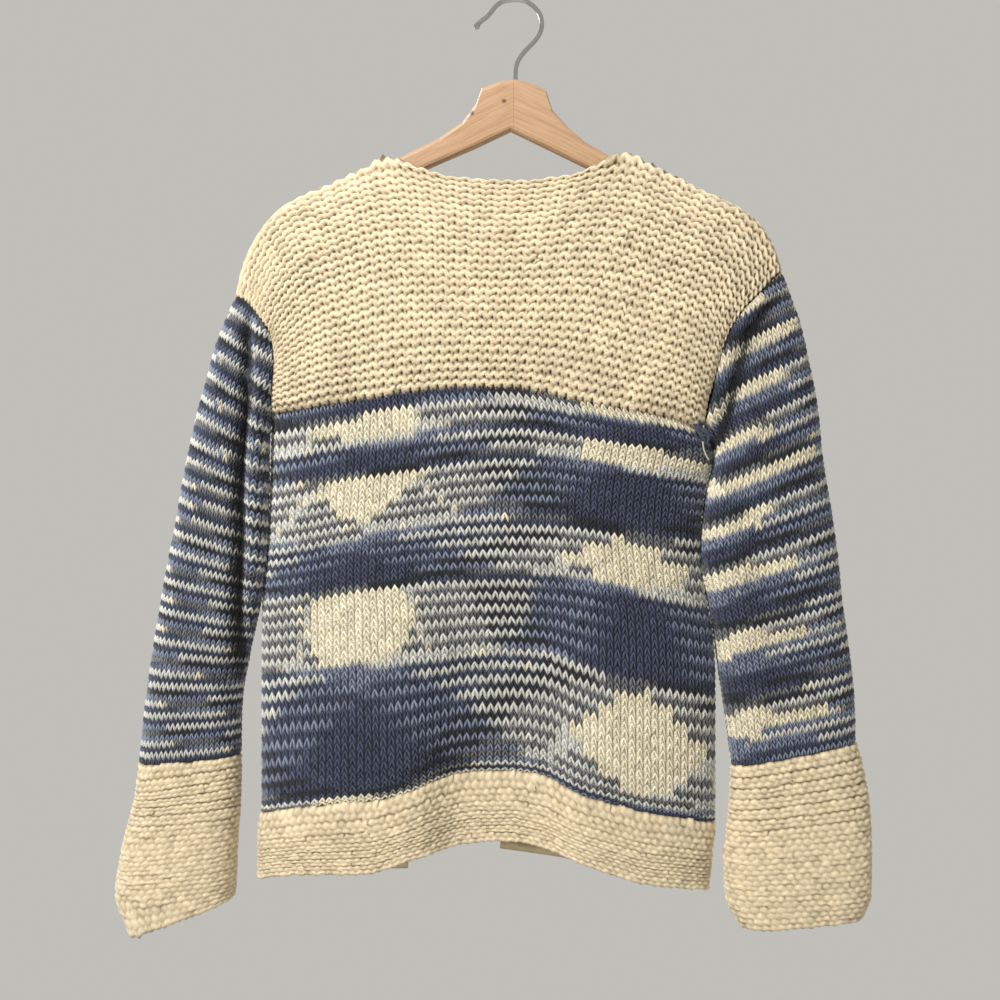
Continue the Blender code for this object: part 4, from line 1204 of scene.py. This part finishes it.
def on_back(y):
    """1 on the sleeve's back, and 0 on its front."""
    return ease((6 - y) / 12)


def between(z, low, low_fade, high, high_fade):
    """1 between two heights, fading to 0 at both."""
    return ease((z - low) / low_fade) * ease((high - z) / high_fade)


def left_rolls_and_shade(points):
    """A deep crease down the back of the left sleeve, drawn only as painted shade, with a soft roll at its
    inner side that really rises.
    """
    x, y, z = points[..., 0], points[..., 1], points[..., 2]
    inward = x - smooth(LEFT_CREASE, 1, z) - 2.0 * np.sin(z / 21)
    fade = between(z, -655, 60, -285, 30) * on_back(y)
    return fade * (4.0 * hump(inward - 13, 9) - 3.0 * hump(inward, 7))


def right_rolls_and_shade(points):
    """A rolled ridge along the right armhole with a line of painted shade beside it, and below it cloth that
    leans on the body's side.
    """
    x, y, z = points[..., 0], points[..., 1], points[..., 2]
    outward_x = x - smooth(RIGHT_SEAM, 1, z)
    fade = between(z, -415, 25, -262, 25) * on_back(y)
    leaning = 2.6 * hump(x - LEANING_X, 10) * between(z, -570, 40, -420, 15)
    return fade * (3.8 * hump(outward_x - 9, 6) - 2.6 * hump(outward_x - 20, 5)) + leaning


ROLLS_AND_SHADE = {-1: left_rolls_and_shade, 1: right_rolls_and_shade}
print("the left crease is", LEFT_CREASE[-1][0] - LEFT_CREASE[0][0], "mm long")

# %% The sleeves and cuffs
LINING_ROWS = np.concatenate([[0, 0.03, 0.08], np.linspace(0.14, 1, 14)])
CUFF_STITCHES = 36
CUFF_ROWS = 30
sleeve_points = {}
for side, word in SIDES:
    f = np.arange(SLEEVE_STITCHES) / SLEEVE_STITCHES
    base, first = sleeve_by_rows(side, f, np.linspace(0, 1, SLEEVE_ROWS + 1))
    sleeve_points[side] = base.reshape(-1, 3)
    normal = outward(base, closed=True)
    # Above its first row a column is one point, which takes the normal of the row below.
    for k, row in enumerate(np.ceil(first).astype(int)):
        if row > 0:
            normal[:row + 1, k] = normal[row + 1, k]
    lining = sleeve(side, f[::2], LINING_ROWS)
    knit("knitted_sleeve_" + word, base, normal, "stockinette", sleeve_dye(side), dyed_yarn,
                         back=1.6, closed=True, first=np.append(first, first[0]),
                         lining=(lining, outward(lining, closed=True)), rolls_and_shade=ROLLS_AND_SHADE[side])
    band = cuff(side, np.arange(CUFF_STITCHES) / CUFF_STITCHES, np.linspace(0, 1, CUFF_ROWS + 1))
    knit("knitted_cuff_" + word, band, outward(band, closed=True), "beads", plain_dye,
                       cream_yarn, back=2.0, closed=True, furrow=(0.8, 0.5))

# %% [markdown]
# ## A knot of yarn
# Where the armhole seam ends, a knot and a loose end of yarn hang on the outside. A strand is a
# round tube that follows a line of points, and a few sines of different speeds tangle the line.

# %% A strand of yarn
ROUND = 10


def strand(name, centres, radius, look):
    """A round strand along a line of points, closed at both ends."""
    line = np.array(centres, float)
    way = np.gradient(line, axis=0)
    way /= np.linalg.norm(way, axis=1)[:, None]
    side = np.cross(way, (0.3, 1.0, 0.2))
    side /= np.linalg.norm(side, axis=1)[:, None]
    up = np.cross(way, side)
    turn = np.linspace(0, FULL_TURN, ROUND, endpoint=False)
    circle = side[:, None] * np.cos(turn)[None, :, None] + up[:, None] * np.sin(turn)[None, :, None]
    points = (line[:, None] + circle * radius).reshape(-1, 3)
    numbers = np.arange(len(points)).reshape(len(line), ROUND)
    faces = [[int(n) for n in face] for face, _, _ in quads(numbers, True)]
    faces.append(numbers[0, ::-1].tolist())
    faces.append(numbers[-1].tolist())
    mesh = bpy.data.meshes.new(name)
    mesh.from_pydata([tuple(p) for p in points * MM], [], faces)
    print(name, "is a strand of", len(line), "rings")
    return hand_over(name, mesh, look)


def loose_yarn(name, colour):
    look = Look(name, roughness=0.9, sheen=0.25, colour=colour)
    fibre = look.noise(look.place(), scale=900.0, detail=3.0, rough=0.6)
    look.bump(fibre, strength=0.6, distance=0.0008)
    return look.made


# %% Loose yarn at the right underarm
KNOT_X = 173.0
KNOT_Z = -405.0
KNOT_REACH = 16
KNOT_OUT = 4.5
cloth = sleeve_points[1]
at_knot = np.hypot(cloth[:, 0] - KNOT_X, cloth[:, 2] - KNOT_Z) < KNOT_REACH
knot_y = cloth[at_knot & (cloth[:, 1] < 0), 1].min() - KNOT_OUT
t = np.linspace(0, 7.4 * math.pi, 150)
curl = np.stack([
    KNOT_X + 4.6 * np.cos(t) + 2.8 * np.cos(2.3 * t),
    knot_y + 1.6 * np.sin(1.7 * t),
    KNOT_Z + 6.6 * np.sin(0.93 * t) + 3.4 * np.sin(2.1 * t + 0.5),
], axis=1)
strand("underarm_knot", curl, 1.1, loose_yarn("dark loose yarn", (0.045, 0.055, 0.090)))
t = np.linspace(0, 1, 24)
tail = np.stack([KNOT_X + 1 + 6 * t ** 2, knot_y + 3.0 * t, KNOT_Z - 9 - 17 * t], axis=1)
strand("underarm_strand", tail, 0.8, loose_yarn("pale loose yarn", (0.52, 0.48, 0.38)))
print("knot at", KNOT_X, round(float(knot_y), 1), KNOT_Z)

# %% The plain pieces that the knitted ones take the place of
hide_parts("body_panel")
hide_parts("body_hem")
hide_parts("back_yoke")
for side, word in SIDES:
    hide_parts("front_yoke_" + word)
    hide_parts("sleeve_" + word)
    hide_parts("cuff_" + word)

# %% [markdown]
# ## Wood and steel
# The hanger keeps its plain model's shape. Its grain could be an image, but wood grain is easy to
# work out: rings of light and dark run out along each arm, and a soft noise disturbs them.

# %% The hanger's wood
JOINT_X = -0.0015
ARM_SLOPE = 0.49
wood = Look("beech", roughness=0.42, coat=0.15)
place = wood.place()
x, y, z = wood.split(place)
from_joint = (x - JOINT_X).sum("ABSOLUTE")
arm = z + from_joint * ARM_SLOPE
stretched = wood.node("ShaderNodeCombineXYZ", {}, [x * 6.0, y * 60.0, arm * 90.0])
grain = wood.noise(stretched, scale=2.2, detail=4.0, rough=0.6)
rings = ((arm * 260.0 + grain * 5.0) * FULL_TURN).sum("SINE") * 0.5 + 0.5
colour = wood.ramp((rings * 0.25 + grain * 0.75).limit(), [
    (0.15, (0.37, 0.205, 0.105)), (0.5, (0.50, 0.305, 0.170)), (0.9, (0.59, 0.39, 0.235)),
])


def mark(centre_x, centre_z, half_wide, half_high, shade):
    """A dark oval on the wood, such as a knot."""
    across = (x - centre_x) * (1 / half_wide)
    up = (z - centre_z) * (1 / half_high)
    return (across * across + up * up).remap(0.3, 1.4, shade, 1.0)


joint_line = from_joint.remap(0.0, 0.0007, 0.78, 1.0)
knot = mark(-0.0103, -0.0950, 0.0024, 0.0021, 0.30)
# A second small dark oval on the wood.
second_dark_spot = mark(-0.0405, -0.1060, 0.0022, 0.0024, 0.25)
shade = joint_line * knot * second_dark_spot
wood.set("Base Color", wood.multiply(colour, wood.node("ShaderNodeCombineColor", {}, [shade] * 3)))
wood.set("Roughness", grain.remap(0.2, 0.8, 0.36, 0.52))
wood.bump(grain, strength=0.15, distance=0.0004)

# %% The hook's wire, and both looks laid on their pieces
steel = Look("steel wire", roughness=0.22, metallic=1.0, colour=(0.46, 0.46, 0.45))
scratch = steel.noise(steel.place(), scale=400.0, detail=3.0, rough=0.6)
steel.set("Roughness", scratch.remap(0.3, 0.7, 0.16, 0.30))
for node, look in (("hanger", wood), ("hook", steel)):
    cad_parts[node].data.materials.clear()
    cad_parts[node].data.materials.append(look.made)
    print(node, "is made of", look.made.name)

# %% [markdown]

# %% [markdown]
# ## Studio
# A pale floor well below the hem, a pale sky of soft light, a small lamp from the upper left of the
# back and a large soft one for the front. A lamp straight ahead would flatten the stitches.

# %% Floor and sky
floor_mesh = bpy.data.meshes.new("floor")
bm = bmesh.new()
bmesh.ops.create_circle(bm, cap_ends=True, segments=96, radius=1.4)
bm.to_mesh(floor_mesh)
bm.free()
floor = bpy.data.objects.new("floor", floor_mesh)
bpy.context.scene.collection.objects.link(floor)
floor.location = (0, 0, -1.75)
floor_mesh.materials.append(Look("pale floor", roughness=0.8, colour=(0.72, 0.70, 0.66)).made)

world = bpy.data.worlds.new("studio")
bpy.context.scene.world = world
world.use_nodes = True
sky = world.node_tree.nodes["Background"]
sky.inputs["Color"].default_value = (0.80, 0.785, 0.735, 1)
sky.inputs["Strength"].default_value = 0.66
print("sky strength:", round(sky.inputs["Strength"].default_value, 2))

# %% Lamps
AIM = Vector((0, 0, -0.45))


def lamp(name, place, size, power):
    """A round lamp that looks at the middle of the cardigan."""
    data = bpy.data.lights.new(name, "AREA")
    data.shape = "DISK"
    data.size = size
    data.energy = power
    made = bpy.data.objects.new(name, data)
    bpy.context.scene.collection.objects.link(made)
    made.location = place
    made.rotation_euler = (AIM - Vector(place)).to_track_quat("-Z", "Y").to_euler()
    print(name, "lamp:", power, "W")


lamp("key", (-1.3, -1.5, 1.1), size=0.45, power=70)
lamp("front_key", (-0.9, 1.9, 0.9), size=1.4, power=30)

# %% Camera
CAMERA = (-0.0141, -1.150, -0.4681)
SEEN_WIDTH = 0.940
SENSOR = 36.0
camera_data = bpy.data.cameras.new("camera")
camera = bpy.data.objects.new("camera", camera_data)
bpy.context.scene.collection.objects.link(camera)
bpy.context.scene.camera = camera
camera.location = CAMERA
camera.rotation_euler = (math.radians(90), 0, 0)
camera_data.sensor_width = SENSOR
camera_data.lens = SENSOR * -CAMERA[1] / SEEN_WIDTH
camera_data.clip_start = 0.05
bpy.context.scene.view_settings.view_transform = "Standard"
print("lens:", round(camera_data.lens, 1), "mm")

# %% Bringing the scene up to date
bpy.context.view_layer.update()
